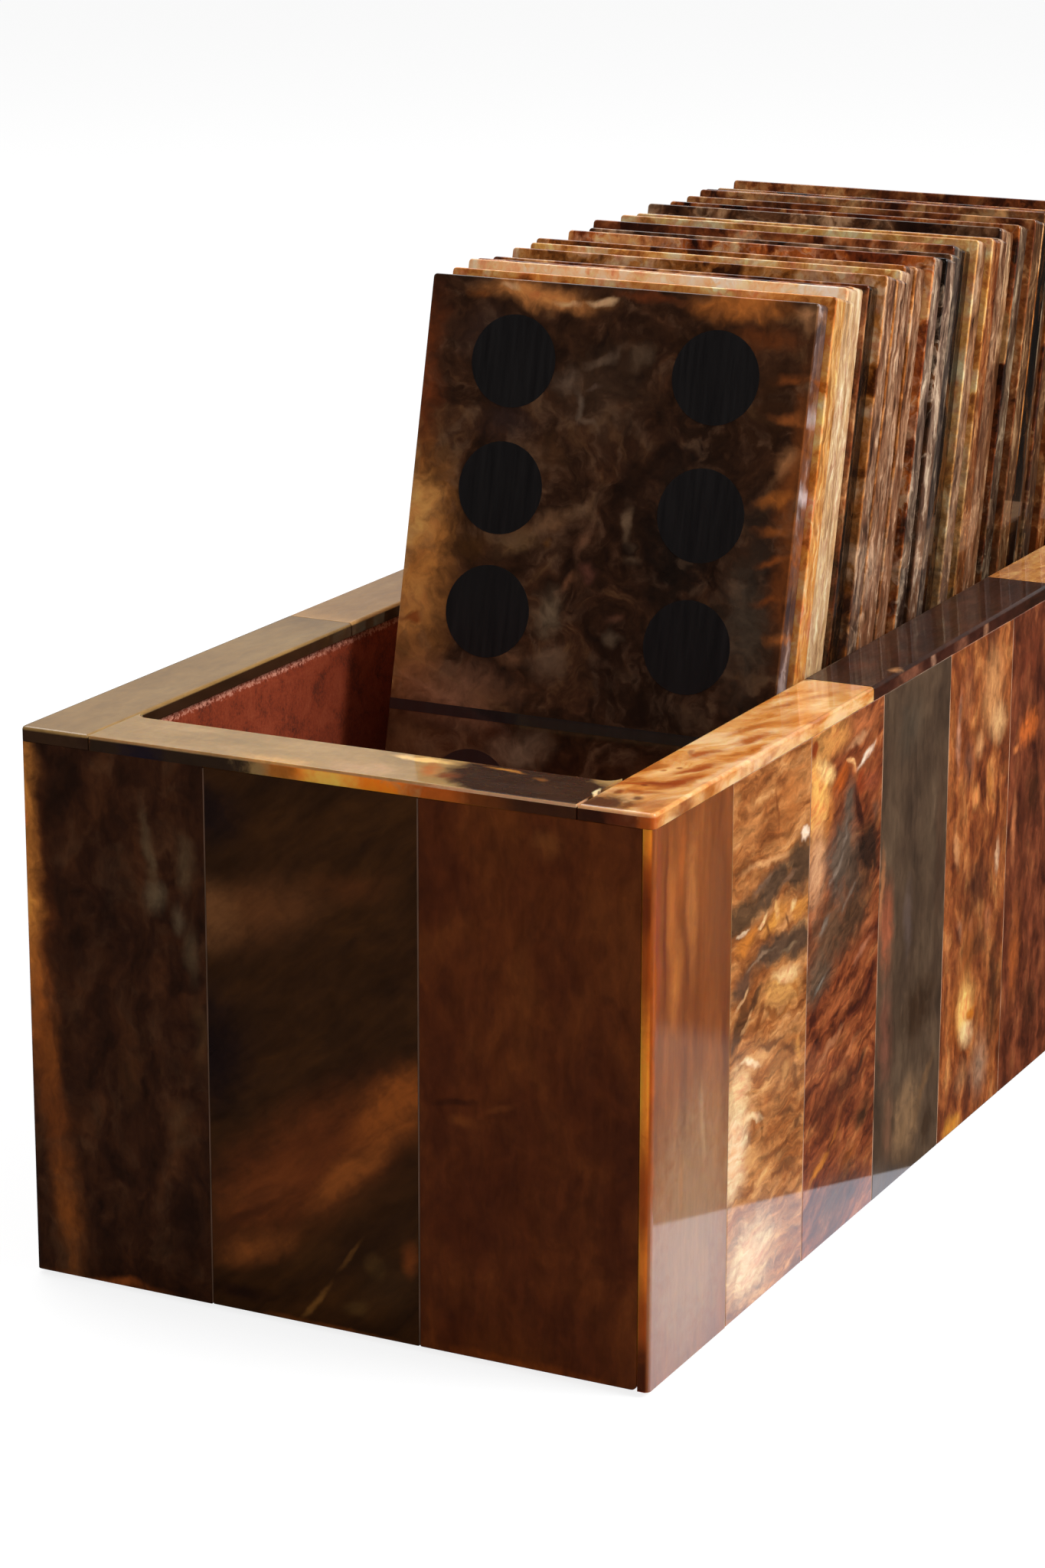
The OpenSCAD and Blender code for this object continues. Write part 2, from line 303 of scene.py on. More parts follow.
# a patch is x, z, half width, half height, hue and strength, then softness and turn if they
# aren't 1 and 0
stripLooks = {
    "front_strip_1": {
        "seed": 1.3, "swirlSize": 12, "swirl": 7, "fray": 0.8, "grain": (7, 3, 13), "curl": 0.9,
        "colours": ["#29170a", "#351e0e", "#412714", "#4e3320"], "stain": (1.12, 0.79, 0.44),
        "mottle": 0.3, "mottleSize": (3, 2, 6), "fibre": 0.12, "torn": 1.6,
        "wisps": ("#52463e", 17, 0.08, 0.2),
        "patches": [
            (-36, 60, 6, 16, "#271408", 0.6), (-49.4, 54, 5.4, 34, "#744014", 0.85),
            (-51.4, 61, 5.6, 36, "#f4b264", 0.95), (-49.4, 43, 4.4, 15, "#9c5c24", 0.8),
            (-46.4, 34, 3.6, 13, "#84501f", 0.78), (-45.2, 25, 3.6, 13, "#78461b", 0.78, 1, 6),
            (-43.6, 11, 4.2, 13, "#925a24", 0.82, 1, 4), (-29.4, 69, 1.4, 9, "#645a50", 0.75, 1, 2),
            (-28.6, 61.6, 2.8, 3.6, "#66605a", 0.75), (-23.2, 66.5, 2.4, 6, "#5c5248", 0.7, 1, 3),
            (-24, 59, 2, 3.2, "#66605c", 0.75, 1, 10), (-21.6, 54, 2, 7, "#504840", 0.7),
            (-21.4, 42, 1.8, 8, "#503c28", 0.7, 0.9), (-33, 34, 3, 9, "#4c321a", 0.6),
            (-24.5, 27, 2.6, 6, "#4c3622", 0.7, 0.9), (-23.5, 12, 5, 12, "#231208", 0.8, 0.9),
            (-38, 1, 14, 1.6, "#8e5222", 0.85, 0.9),
        ]},
    "front_strip_2": {
        "seed": 7.9, "swirlSize": 16, "swirl": 5, "fray": 0.7, "grain": (18, 6, 8),
        "grainTurn": 38, "colours": ["#301e0c", "#39240e", "#422a11", "#4c3216"],
        "stain": (0.98, 0.7, 0.28), "mottle": 0.22, "mottleSize": (9, 2, 2.4),
        "fibre": 0.1, "fibreTurn": 40, "fibreSize": (9, 0.8, 0.9), "torn": 1.2,
        "patches": [
            (-10, 62, 15, 7.5, "#6c4834", 0.9, 1, 20),
            (-18.5, 60, 7, 7.4, "#7c5a4a", 0.85, 0.9, 25), (4, 67.6, 10, 3.6, "#5c3820", 0.8, 1, 8),
            (-22.4, 75, 12, 7, "#1f1420", 0.9, 0.7), (-22, 40, 13, 14, "#1e121e", 0.95, 0.8),
            (-4, 25, 30, 12, "#6e3c1c", 0.97, 0.9, 40), (-10, 20, 12, 5, "#7a4626", 0.7, 0.9, 44),
            (10.5, 36, 13, 6.4, "#a4622f", 0.95, 1, 48), (3, 24.6, 13, 3.6, "#9c6034", 0.85, 1, 44),
            (-12, 11, 11, 3.4, "#885430", 0.9, 1, 24),
            (-13, 15.6, 10, 1.1, "#4c2811", 0.85, 0.9, 34),
            (-4, 26, 11, 1, "#683a18", 0.6, 0.9, 44), (6, 14.5, 20, 3.2, "#35210f", 0.9, 0.9, 46),
            (10, 24, 9, 2.4, "#41280f", 0.8, 0.9, 54), (9, 9, 8, 6, "#443020", 0.8, 0.8, 35),
            (7.6, 12, 2.4, 2.6, "#56422c", 0.85, 0.8), (3.6, 5, 3.2, 1.8, "#5a4630", 0.8, 0.8, 20),
            (-2.6, 4.6, 5.4, 0.7, "#80603e", 0.9, 0.8, 52),
            (3.4, 12.6, 5, 0.6, "#64482a", 0.8, 0.8, 54), (12.8, 14, 1.8, 4, "#7c4620", 0.85, 0.9),
            (-15, 3.6, 8, 1.8, "#2a160e", 0.85, 0.9), (0, 0.8, 16, 1, "#7c4a26", 0.8, 0.9),
        ]},
    "front_strip_3": {
        "seed": 12.4, "swirlSize": 11, "swirl": 4, "fray": 0.7, "grain": (9, 4, 15), "curl": 0.5,
        "colours": ["#52290f", "#5e3113", "#693a18", "#75441f"], "stain": (0.86, 0.58, 0.24),
        "mottle": 0.22, "mottleSize": (3, 1.5, 6), "fibre": 0.12, "fibreSize": (1.1, 0.8, 9),
        "patches": [
            (27, 24, 26, 26, "#54290f", 0.7), (31, 56, 3, 14, "#784822", 0.5),
            (34, 78, 3.6, 3.4, "#7f5230", 0.8, 1, 10), (21.5, 35.6, 3.4, 1.6, "#7c4a22", 0.85, 0.9),
            (20, 38.4, 5, 0.8, "#44220c", 0.85, 0.8, 8),
            (27, 38.6, 3.4, 0.9, "#84502a", 0.6, 0.9, 28), (42, 45, 4, 12, "#4e260e", 0.5),
            (30, 0.6, 19, 1.6, "#90501f", 0.85, 0.9),
        ]},
    "right_strip_1": {
        "seed": 21.2, "swirlSize": 14, "swirl": 3.4, "fray": 0.6, "grain": (5, 3, 44),
        "curl": 0.3, "colours": ["#70422a", "#7f4e2c", "#8c5832", "#98643a"],
        "stain": (0.97, 0.73, 0.53), "mottle": 0.1, "mottleSize": (1.6, 1.0, 7),
        "fibre": 0.1, "fibreSize": (1.2, 0.6, 9), "torn": 1.2, "glow": 0.5,
        "patches": [
            (-86, 66, 6, 20, "#7c5236", 0.85), (-91, 55, 7, 6, "#7c4a26", 0.7),
            (-105.4, 66, 1.5, 24, "#94503a", 0.75, 0.9), (-103, 66, 0.9, 20, "#6b3428", 0.75, 0.9),
            (-100.8, 68, 2.8, 17, "#b87840", 0.6, 1, 3), (-99.4, 58, 2.4, 9, "#c08448", 0.6, 1, -8),
            (-98, 74, 2.2, 10, "#aa6834", 0.8), (-94.6, 69, 3, 16, "#bc8450", 0.7, 1, 2),
            (-89.6, 74, 1.4, 9, "#94603a", 0.7), (-94, 20, 24, 29, "#a38e7c", 0.85, 0.8, -6),
            (-90, 34, 1.4, 10, "#b09c86", 0.6, 1, 4), (-97, 28, 1.2, 9, "#a8805c", 0.6),
            # the amber down the rounded front corner carries the painted glow of the sawn end round
            # the corner
            (-106.8, 46, 1.5, 44, "#a85c18", 0.85, 0.9),
        ],
        # on the sawn front end: the bright orange and amber are painted glow of light shining
        # through the horn, the two dark marks are where that glow is left out
        "edgePatches": [
            (-107, 44, 4, 60, "#a85818", 0.97, 0.2), (-107, 46, 4, 15, "#ffb040", 0.9, 0.9),
            (-107, 20, 4, 7, "#f09c38", 0.8, 0.9), (-107, 81, 4, 6, "#ffa838", 0.9, 0.9),
            (-107, 70, 4, 6, "#6c3010", 0.8, 0.9), (-107, 3, 4, 7, "#4c240e", 0.95, 0.8),
        ]},
    "right_strip_2": {
        "seed": 31.7, "swirlSize": 8, "swirl": 5, "grain": (13, 4, 3.2), "curl": 0.7,
        "colours": ["#743f1a", "#9c5e2e", "#bc7f48", "#d89f66"], "stain": (0.96, 0.88, 0.8),
        "mottle": 0.35, "mottleSize": (5, 1.4, 1.2), "fibre": 0.16, "fibreSize": (5, 0.8, 0.6),
        "torn": 1.8,
        "patches": [
            (-60, 74, 8, 7, "#b06c34", 0.7), (-75, 73, 6, 6, "#c08048", 0.7),
            (-65.5, 74, 0.7, 7, "#84481f", 0.75, 0.9, 8),
            (-76, 69.5, 4, 0.7, "#8a4e24", 0.7, 0.9, 16),
            (-68, 67, 15, 0.9, "#dca46c", 0.8, 0.9, -3),
            (-77, 61.4, 8, 3.8, "#5a412c", 0.95, 0.6, 4),
            (-67, 63, 8.6, 4, "#544030", 0.95, 0.6, 10), (-57, 63.6, 7.5, 5, "#4c3828", 0.95, 0.6),
            (-70, 64.2, 5, 0.7, "#7c604c", 0.75, 0.8, 12),
            (-61, 62.4, 4, 0.7, "#80604a", 0.75, 0.8, 20),
            (-56, 60.6, 3, 0.9, "#8a5a38", 0.8, 0.8, 30),
            # painted highlight: the small white spot by the seam
            (-55.4, 67.8, 2, 1.2, "#ffe8d0", 0.97, 0.6),
            (-76, 56.8, 5.4, 2.2, "#c4782c", 0.95, 0.7, 14),
            (-66, 57.6, 6.4, 2.3, "#d08c3c", 0.95, 0.7, 12),
            (-57, 57.4, 5.4, 2.4, "#cc8838", 0.95, 0.7),
            (-77, 58.6, 3, 0.6, "#dcc0a0", 0.9, 0.7, 6),
            (-70.6, 58.8, 2.6, 0.9, "#efc890", 0.95, 0.7, 35),
            (-64.8, 58.8, 1.1, 2.2, "#e4b06c", 0.9, 0.7, 20),
            (-59.4, 58.4, 2, 0.9, "#ecc488", 0.85, 0.7, 40),
            (-68.4, 56.6, 0.8, 2.4, "#6a3c1e", 0.8, 0.8, 30),
            (-61.6, 56.4, 0.7, 2, "#7c4820", 0.8, 0.8, 35),
            (-77, 51.2, 6.4, 2.4, "#5c4030", 0.93, 0.6, 18),
            (-66, 53.4, 9.4, 2.8, "#544032", 0.95, 0.6, 2),
            (-57, 52.6, 7, 3.8, "#503c2e", 0.95, 0.6, -8),
            (-70, 53.4, 7, 0.5, "#8c725c", 0.75, 0.8, 6),
            (-60, 52.6, 5, 0.5, "#80684f", 0.75, 0.8, -6),
            (-78, 45.2, 2.4, 5.8, "#5c371c", 0.95, 0.6, -38),
            (-73, 48, 5.2, 1.3, "#5a361e", 0.93, 0.6, 28),
            (-77.2, 49, 3.8, 0.6, "#d4a878", 0.9, 0.7, 34),
            (-75.6, 45.4, 3.4, 0.6, "#c09060", 0.85, 0.7, 40),
            (-63, 46.4, 10, 4.6, "#cc9450", 0.95, 0.8, -8),
            (-61, 48.6, 7, 1.7, "#f2cc92", 0.93, 0.8, -10),
            (-70.8, 44.6, 1.2, 4.2, "#84481e", 0.85, 0.7, -35),
            (-66.4, 43.8, 4.6, 0.9, "#8c4e1e", 0.85, 0.7, -22),
            (-61.4, 43, 3.6, 0.7, "#a06028", 0.8, 0.8, 25),
            (-58, 45.4, 0.8, 3, "#a8682c", 0.8, 0.8, 34),
            (-61, 36, 8.5, 5.4, "#9c6434", 0.8, 1, -10),
            (-66, 39.4, 6.4, 0.9, "#6c3c1c", 0.85, 0.8, -12),
            (-60, 36.4, 5.4, 0.9, "#6f3f1d", 0.85, 0.8, -30),
            (-57, 31, 1.2, 4.4, "#74431f", 0.8, 0.8, 20),
            (-64, 32, 4, 0.8, "#84502a", 0.75, 0.8, 35), (-61, 33.6, 2, 1.4, "#d49c5c", 0.8, 0.8),
            (-56, 35.6, 1.4, 3, "#d0944c", 0.8, 0.8, 20),
            (-60, 26.8, 4.6, 0.9, "#683a1b", 0.85, 0.8, -18),
            (-56, 23.6, 2.8, 1.6, "#5e3318", 0.85, 0.8, 20),
            (-66, 22, 4.6, 0.8, "#7c4a26", 0.8, 0.8, -10),
            (-61, 18, 6.5, 1.3, "#74431f", 0.85, 0.8, -6),
            (-69, 27.6, 0.8, 4.8, "#8c582c", 0.8, 0.8, 8),
            (-77.6, 35, 6.6, 7.2, "#f4cc98", 0.95, 0.8), (-79, 26, 7, 9.6, "#ffe0b8", 0.95, 0.8),
            (-73.6, 38.8, 5.4, 0.7, "#ffe8c4", 0.85, 0.8, -16),
            (-72.4, 33.6, 6, 0.8, "#b87c40", 0.8, 0.8, -12),
            (-73, 29.6, 6, 0.8, "#fce0b0", 0.85, 0.8, -10),
            (-73, 24, 7, 3.4, "#dda468", 0.8, 1, -8), (-74, 8, 11, 8, "#f0c894", 0.85),
            (-58, 10, 6, 6, "#a87448", 0.7), (-72, 9, 14, 10, "#f4dcb6", 0.66, 1, -6),
        ]},
    "right_strip_3": {
        "seed": 41.3, "swirlSize": 8, "swirl": 5, "grain": (9, 4, 3.4), "grainTurn": 24,
        "curl": 0.9, "colours": ["#461a0c", "#6f3216", "#904a24", "#ae6838"],
        "mottle": 0.42, "mottleSize": (4.5, 1.4, 1.2), "fibre": 0.16,
        "fibreSize": (4, 0.8, 0.6), "fibreTurn": 24, "torn": 1.8,
        "patches": [
            (-51, 72, 7.6, 13, "#f0a856", 0.97, 0.9), (-51, 61, 6.4, 10, "#d49c70", 0.9),
            (-45, 80, 10, 3.6, "#dc944a", 0.9, 0.9, -8),
            (-47.5, 75.4, 5.4, 2.4, "#fac880", 0.85, 0.9, -30),
            (-51.8, 79.2, 2.2, 1.8, "#8a3408", 0.95, 0.7),
            (-34, 79.4, 10, 3.8, "#a45c32", 0.9, 0.9, -6), (-36, 77, 6, 1, "#c48c60", 0.8, 0.9, 6),
            (-42, 72.4, 4.4, 2.8, "#a44c14", 0.95, 0.8, 20),
            (-46.6, 68, 2.4, 4.2, "#b46428", 0.85, 0.9, -30),
            (-34.4, 70.6, 3.4, 3.4, "#7c3010", 0.95, 0.8, -30),
            (-29.6, 69.6, 4.4, 2.6, "#96492a", 0.85, 0.9, -20),
            (-32.6, 74, 5, 0.8, "#f0d4b8", 0.95, 0.8, 18),
            (-38.6, 73.8, 2.6, 0.8, "#f0b070", 0.85, 0.8, -30),
            (-45, 50, 11, 8, "#644630", 0.93, 0.8, 10),
            (-49.6, 44, 8, 5.6, "#604a38", 0.92, 0.8, 5),
            (-36, 50, 12, 7, "#48301f", 0.92, 0.8, 14),
            (-41, 60.5, 8.6, 9, "#5e4c3e", 0.97, 0.7, 12),
            (-38.4, 67.6, 3, 5.6, "#584638", 0.95, 0.7),
            (-36, 57, 7.4, 5.6, "#4c382a", 0.9, 0.8, -10),
            (-35, 66, 1.5, 5.8, "#3a170c", 0.95, 0.7, 24),
            (-30.4, 59, 6.4, 8.4, "#2c1a10", 0.95, 0.7, 20),
            (-28, 65, 2.6, 2.6, "#5e3c2a", 0.8, 0.9), (-43, 58.6, 5, 0.8, "#8a7666", 0.7, 0.9, 34),
            (-40, 63.4, 0.9, 4, "#7c6a5c", 0.65, 0.9, -24),
            (-47.4, 52, 2.4, 1, "#807062", 0.65, 0.9, 30),
            (-38.5, 54, 4, 0.7, "#7e6c5c", 0.65, 0.9, 24),
            (-48.4, 43, 3.4, 0.8, "#948474", 0.75, 0.8, 30),
            (-30, 47, 4.4, 1.8, "#a45c34", 0.8, 0.9, 15),
            (-31.6, 43.6, 5.4, 1, "#b87250", 0.8, 0.9, 22),
            (-40, 38, 10, 1.9, "#a85a2e", 0.8, 0.9, 12),
            (-44, 32, 7.4, 1, "#c27c50", 0.75, 0.9, 20),
            (-36, 29, 6.4, 0.9, "#ac663c", 0.75, 0.9, 26),
            (-40, 23.5, 14, 3.8, "#481c0d", 0.88, 0.9, 8),
            (-32, 25, 4.4, 1.3, "#341c12", 0.85, 0.9, 30),
            (-30.6, 17, 4.8, 3, "#38200f", 0.88, 0.9, 30),
            (-47, 13.4, 4.4, 1.3, "#c87828", 0.95, 0.8, 28),
            (-42, 17, 3.8, 0.9, "#a05a20", 0.85, 0.9, 36),
            (-36, 11, 5.4, 1.5, "#a8581f", 0.88, 0.9, 22), (-49, 22, 4, 3, "#5e2812", 0.7, 0.9),
            (-40, 6, 15, 8, "#3c1c0f", 0.75, 1, 6),
        ]},
    "right_strip_4": {
        "seed": 52.6, "swirlSize": 10, "swirl": 4, "grain": (7, 4, 14),
        "colours": ["#403024", "#4b392b", "#554232", "#604c3a"], "stain": (1.0, 0.95, 0.9),
        "mottle": 0.2, "mottleSize": (3, 2, 5), "fibre": 0.14,
        "patches": [
            (-15, 74, 8, 8, "#4c4236", 0.6), (-22.6, 44, 4.4, 11, "#9c5638", 0.88, 0.9),
            (-24.8, 51, 1.4, 9, "#b8784c", 0.75, 0.9), (-22, 27, 4.4, 13, "#7c4a38", 0.75),
            (-13.6, 43, 2.6, 9, "#5e4e48", 0.7, 0.9), (-8, 27, 11, 7, "#3a2616", 0.88, 0.9, 6),
            (-12, 10, 8.4, 9.4, "#8c6c4c", 0.85, 0.9, -30),
            (-5, 13, 1.6, 9, "#705236", 0.75, 0.9, -38), (-3.4, 6, 4, 5, "#382414", 0.8, 0.9),
            (-20, 12, 3.6, 9, "#74503a", 0.7, 0.9), (-1, 54, 2.6, 28, "#523a2a", 0.6),
        ]},
    "right_strip_5": {
        "seed": 63.8, "swirlSize": 8, "swirl": 4, "grain": (4, 3, 9), "curl": 0.5,
        "colours": ["#5a2812", "#7c3c1a", "#9c5628", "#bc7840"], "mottle": 0.42,
        "mottleSize": (1.6, 1.4, 3.6), "fibre": 0.18, "fibreSize": (0.9, 0.8, 6), "torn": 1.6,
        "patches": [
            (21, 72, 7.4, 11, "#cc8c54", 0.88), (24, 66, 5, 5, "#e0aa70", 0.85, 0.9),
            (15.6, 64, 3, 3.4, "#c88c58", 0.8, 0.9), (10, 74, 4, 8, "#864c30", 0.6),
            (11, 62, 3.4, 6, "#8c583e", 0.6), (6.4, 68, 1.4, 9, "#c08464", 0.8, 0.9),
            (14.6, 55.4, 2.2, 2.6, "#ec9c54", 0.92, 0.8),
            (21, 56, 1.8, 4.4, "#d0843c", 0.85, 0.9, 10), (7, 49, 1.6, 5, "#c48858", 0.85, 0.9, 10),
            (11, 46, 1.4, 4, "#c07840", 0.8, 0.9, -20), (25.6, 43, 1.5, 4, "#d8a880", 0.92, 0.8),
            (16, 40, 10, 8, "#4c2616", 0.85), (9, 35, 1.6, 3.2, "#a87050", 0.8, 0.9, 20),
            (14, 34, 1.6, 2, "#9c6040", 0.75, 0.9), (22, 33, 2.4, 3.4, "#b06840", 0.8, 0.9),
            (4, 33, 1.4, 4, "#b87040", 0.7, 0.9), (17, 30, 8, 3.4, "#4c2612", 0.85, 0.9),
            (13, 26, 5.4, 15, "#a85c24", 0.85, 1, -4), (12, 20, 8, 8.4, "#a85618", 0.93, 0.9),
            (12.8, 21, 5, 8, "#f8bc68", 0.97, 0.9, -4), (13.6, 16.4, 4.4, 3.4, "#f0c890", 0.8, 0.9),
            (15.4, 19, 2.2, 1.6, "#c06a14", 0.92, 0.7), (7.4, 22, 1.3, 6, "#a85c24", 0.7, 0.9),
            (25.6, 20, 4.4, 15, "#462714", 0.9), (20, 9, 6, 8, "#a88468", 0.8),
            (12, 9, 4.8, 4.6, "#a8744a", 0.7), (8, 2, 5.4, 2, "#e09830", 0.88, 0.9),
            (15.6, 31, 15, 12, "#5c2f18", 0.42),
        ]},
    "right_strip_6": {
        "seed": 74.1, "swirlSize": 8, "swirl": 4, "grain": (5, 3, 9),
        "colours": ["#401a0e", "#5a2b18", "#743c24", "#885030"], "stain": (1.1, 0.98, 0.82),
        "mottle": 0.38, "mottleSize": (2, 1.5, 4), "fibre": 0.18,
        "patches": [
            (38, 74, 9, 7, "#642e1a", 0.8), (39, 61.5, 7, 4.2, "#bc6228", 0.92, 0.9, 8),
            (33, 59, 2, 1.2, "#d08048", 0.8, 0.9), (41.5, 50, 6, 6.4, "#43210f", 0.9, 0.9),
            (32.8, 46, 1.8, 9, "#b47048", 0.8, 0.9), (35, 24, 4, 14, "#9c5424", 0.7),
            (44, 12, 6, 7, "#34180c", 0.8),
        ]},
    "right_strip_7": {
        "seed": 84.9, "swirlSize": 9, "swirl": 3, "grain": (5, 3, 14),
        "colours": ["#5f381d", "#82502a", "#9e683a", "#b98650"]},
    "right_strip_8": {
        "seed": 95.5, "swirlSize": 9, "swirl": 3, "grain": (5, 3, 12),
        "colours": ["#301c10", "#48301c", "#5f422c", "#785a3c"]},
}


def stripPiece(source, name, look, turned):
    # one strip, from the box of a CAD strip, turned half round for the two far sides
    low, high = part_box(source)
    bm = bmesh.new()
    addBlock(bm, low, high)
    isFront = source.startswith("front")
    number = int(source[-1])
    if number == 1:
        roundCorner(bm, low, high, ("x-" if isFront else "x+", "y-"), strips["corner"] * mm)
        roundCorner(bm, low, high, ("x-" if isFront else "y-", "z-"), strips["foot"] * mm)
    if number == (3 if isFront else 8):
        roundCorner(bm, low, high, ("x+" if isFront else "y+", "z-"), strips["foot"] * mm)
    roundEdges(bm, sharpEdges(bm), strips["arris"] * mm, 2)
    if turned:
        bmesh.ops.rotate(
            bm, verts=bm.verts, cent=(0, 0, 0), matrix=Matrix.Rotation(math.pi, 3, "Z"))
    bmesh.ops.recalc_face_normals(bm, faces=bm.faces)
    near, far = (frontFace, backFace) if isFront else (rightFace, leftFace)
    material = hornMaterial("lacqueredHorn_" + name, {**look, **(far if turned else near)})
    group = ("back_strips" if isFront else "left_strips") if turned else source
    placePiece(bm, name, "case", [material], [group])


for source, look in stripLooks.items():
    stripPiece(source, source + "_horn", look, False)

# the far sides: the same sizes, other pieces of horn
farLooks = {
    "back": ["right_strip_7", "front_strip_1", "right_strip_6"],
    "left": ["right_strip_4", "right_strip_7", "front_strip_3", "right_strip_8", "right_strip_5",
             "right_strip_3", "front_strip_1", "right_strip_1"],
}
for side, near in (("back", "front"), ("left", "right")):
    for k, lookName in enumerate(farLooks[side]):
        look = {**stripLooks[lookName], "patches": []}
        look["seed"] += 100 + 7 * k     # another part of the pattern
        stripPiece(f"{near}_strip_{k + 1}", f"{side}_strips_{k + 1}_horn", look, True)


print("stage: rim")

rim = {
    "topArris": 0.5,        # rounded outer and inner top edges, mm
    "joint": 0.1,           # eased edges at the joints and underneath, mm
}

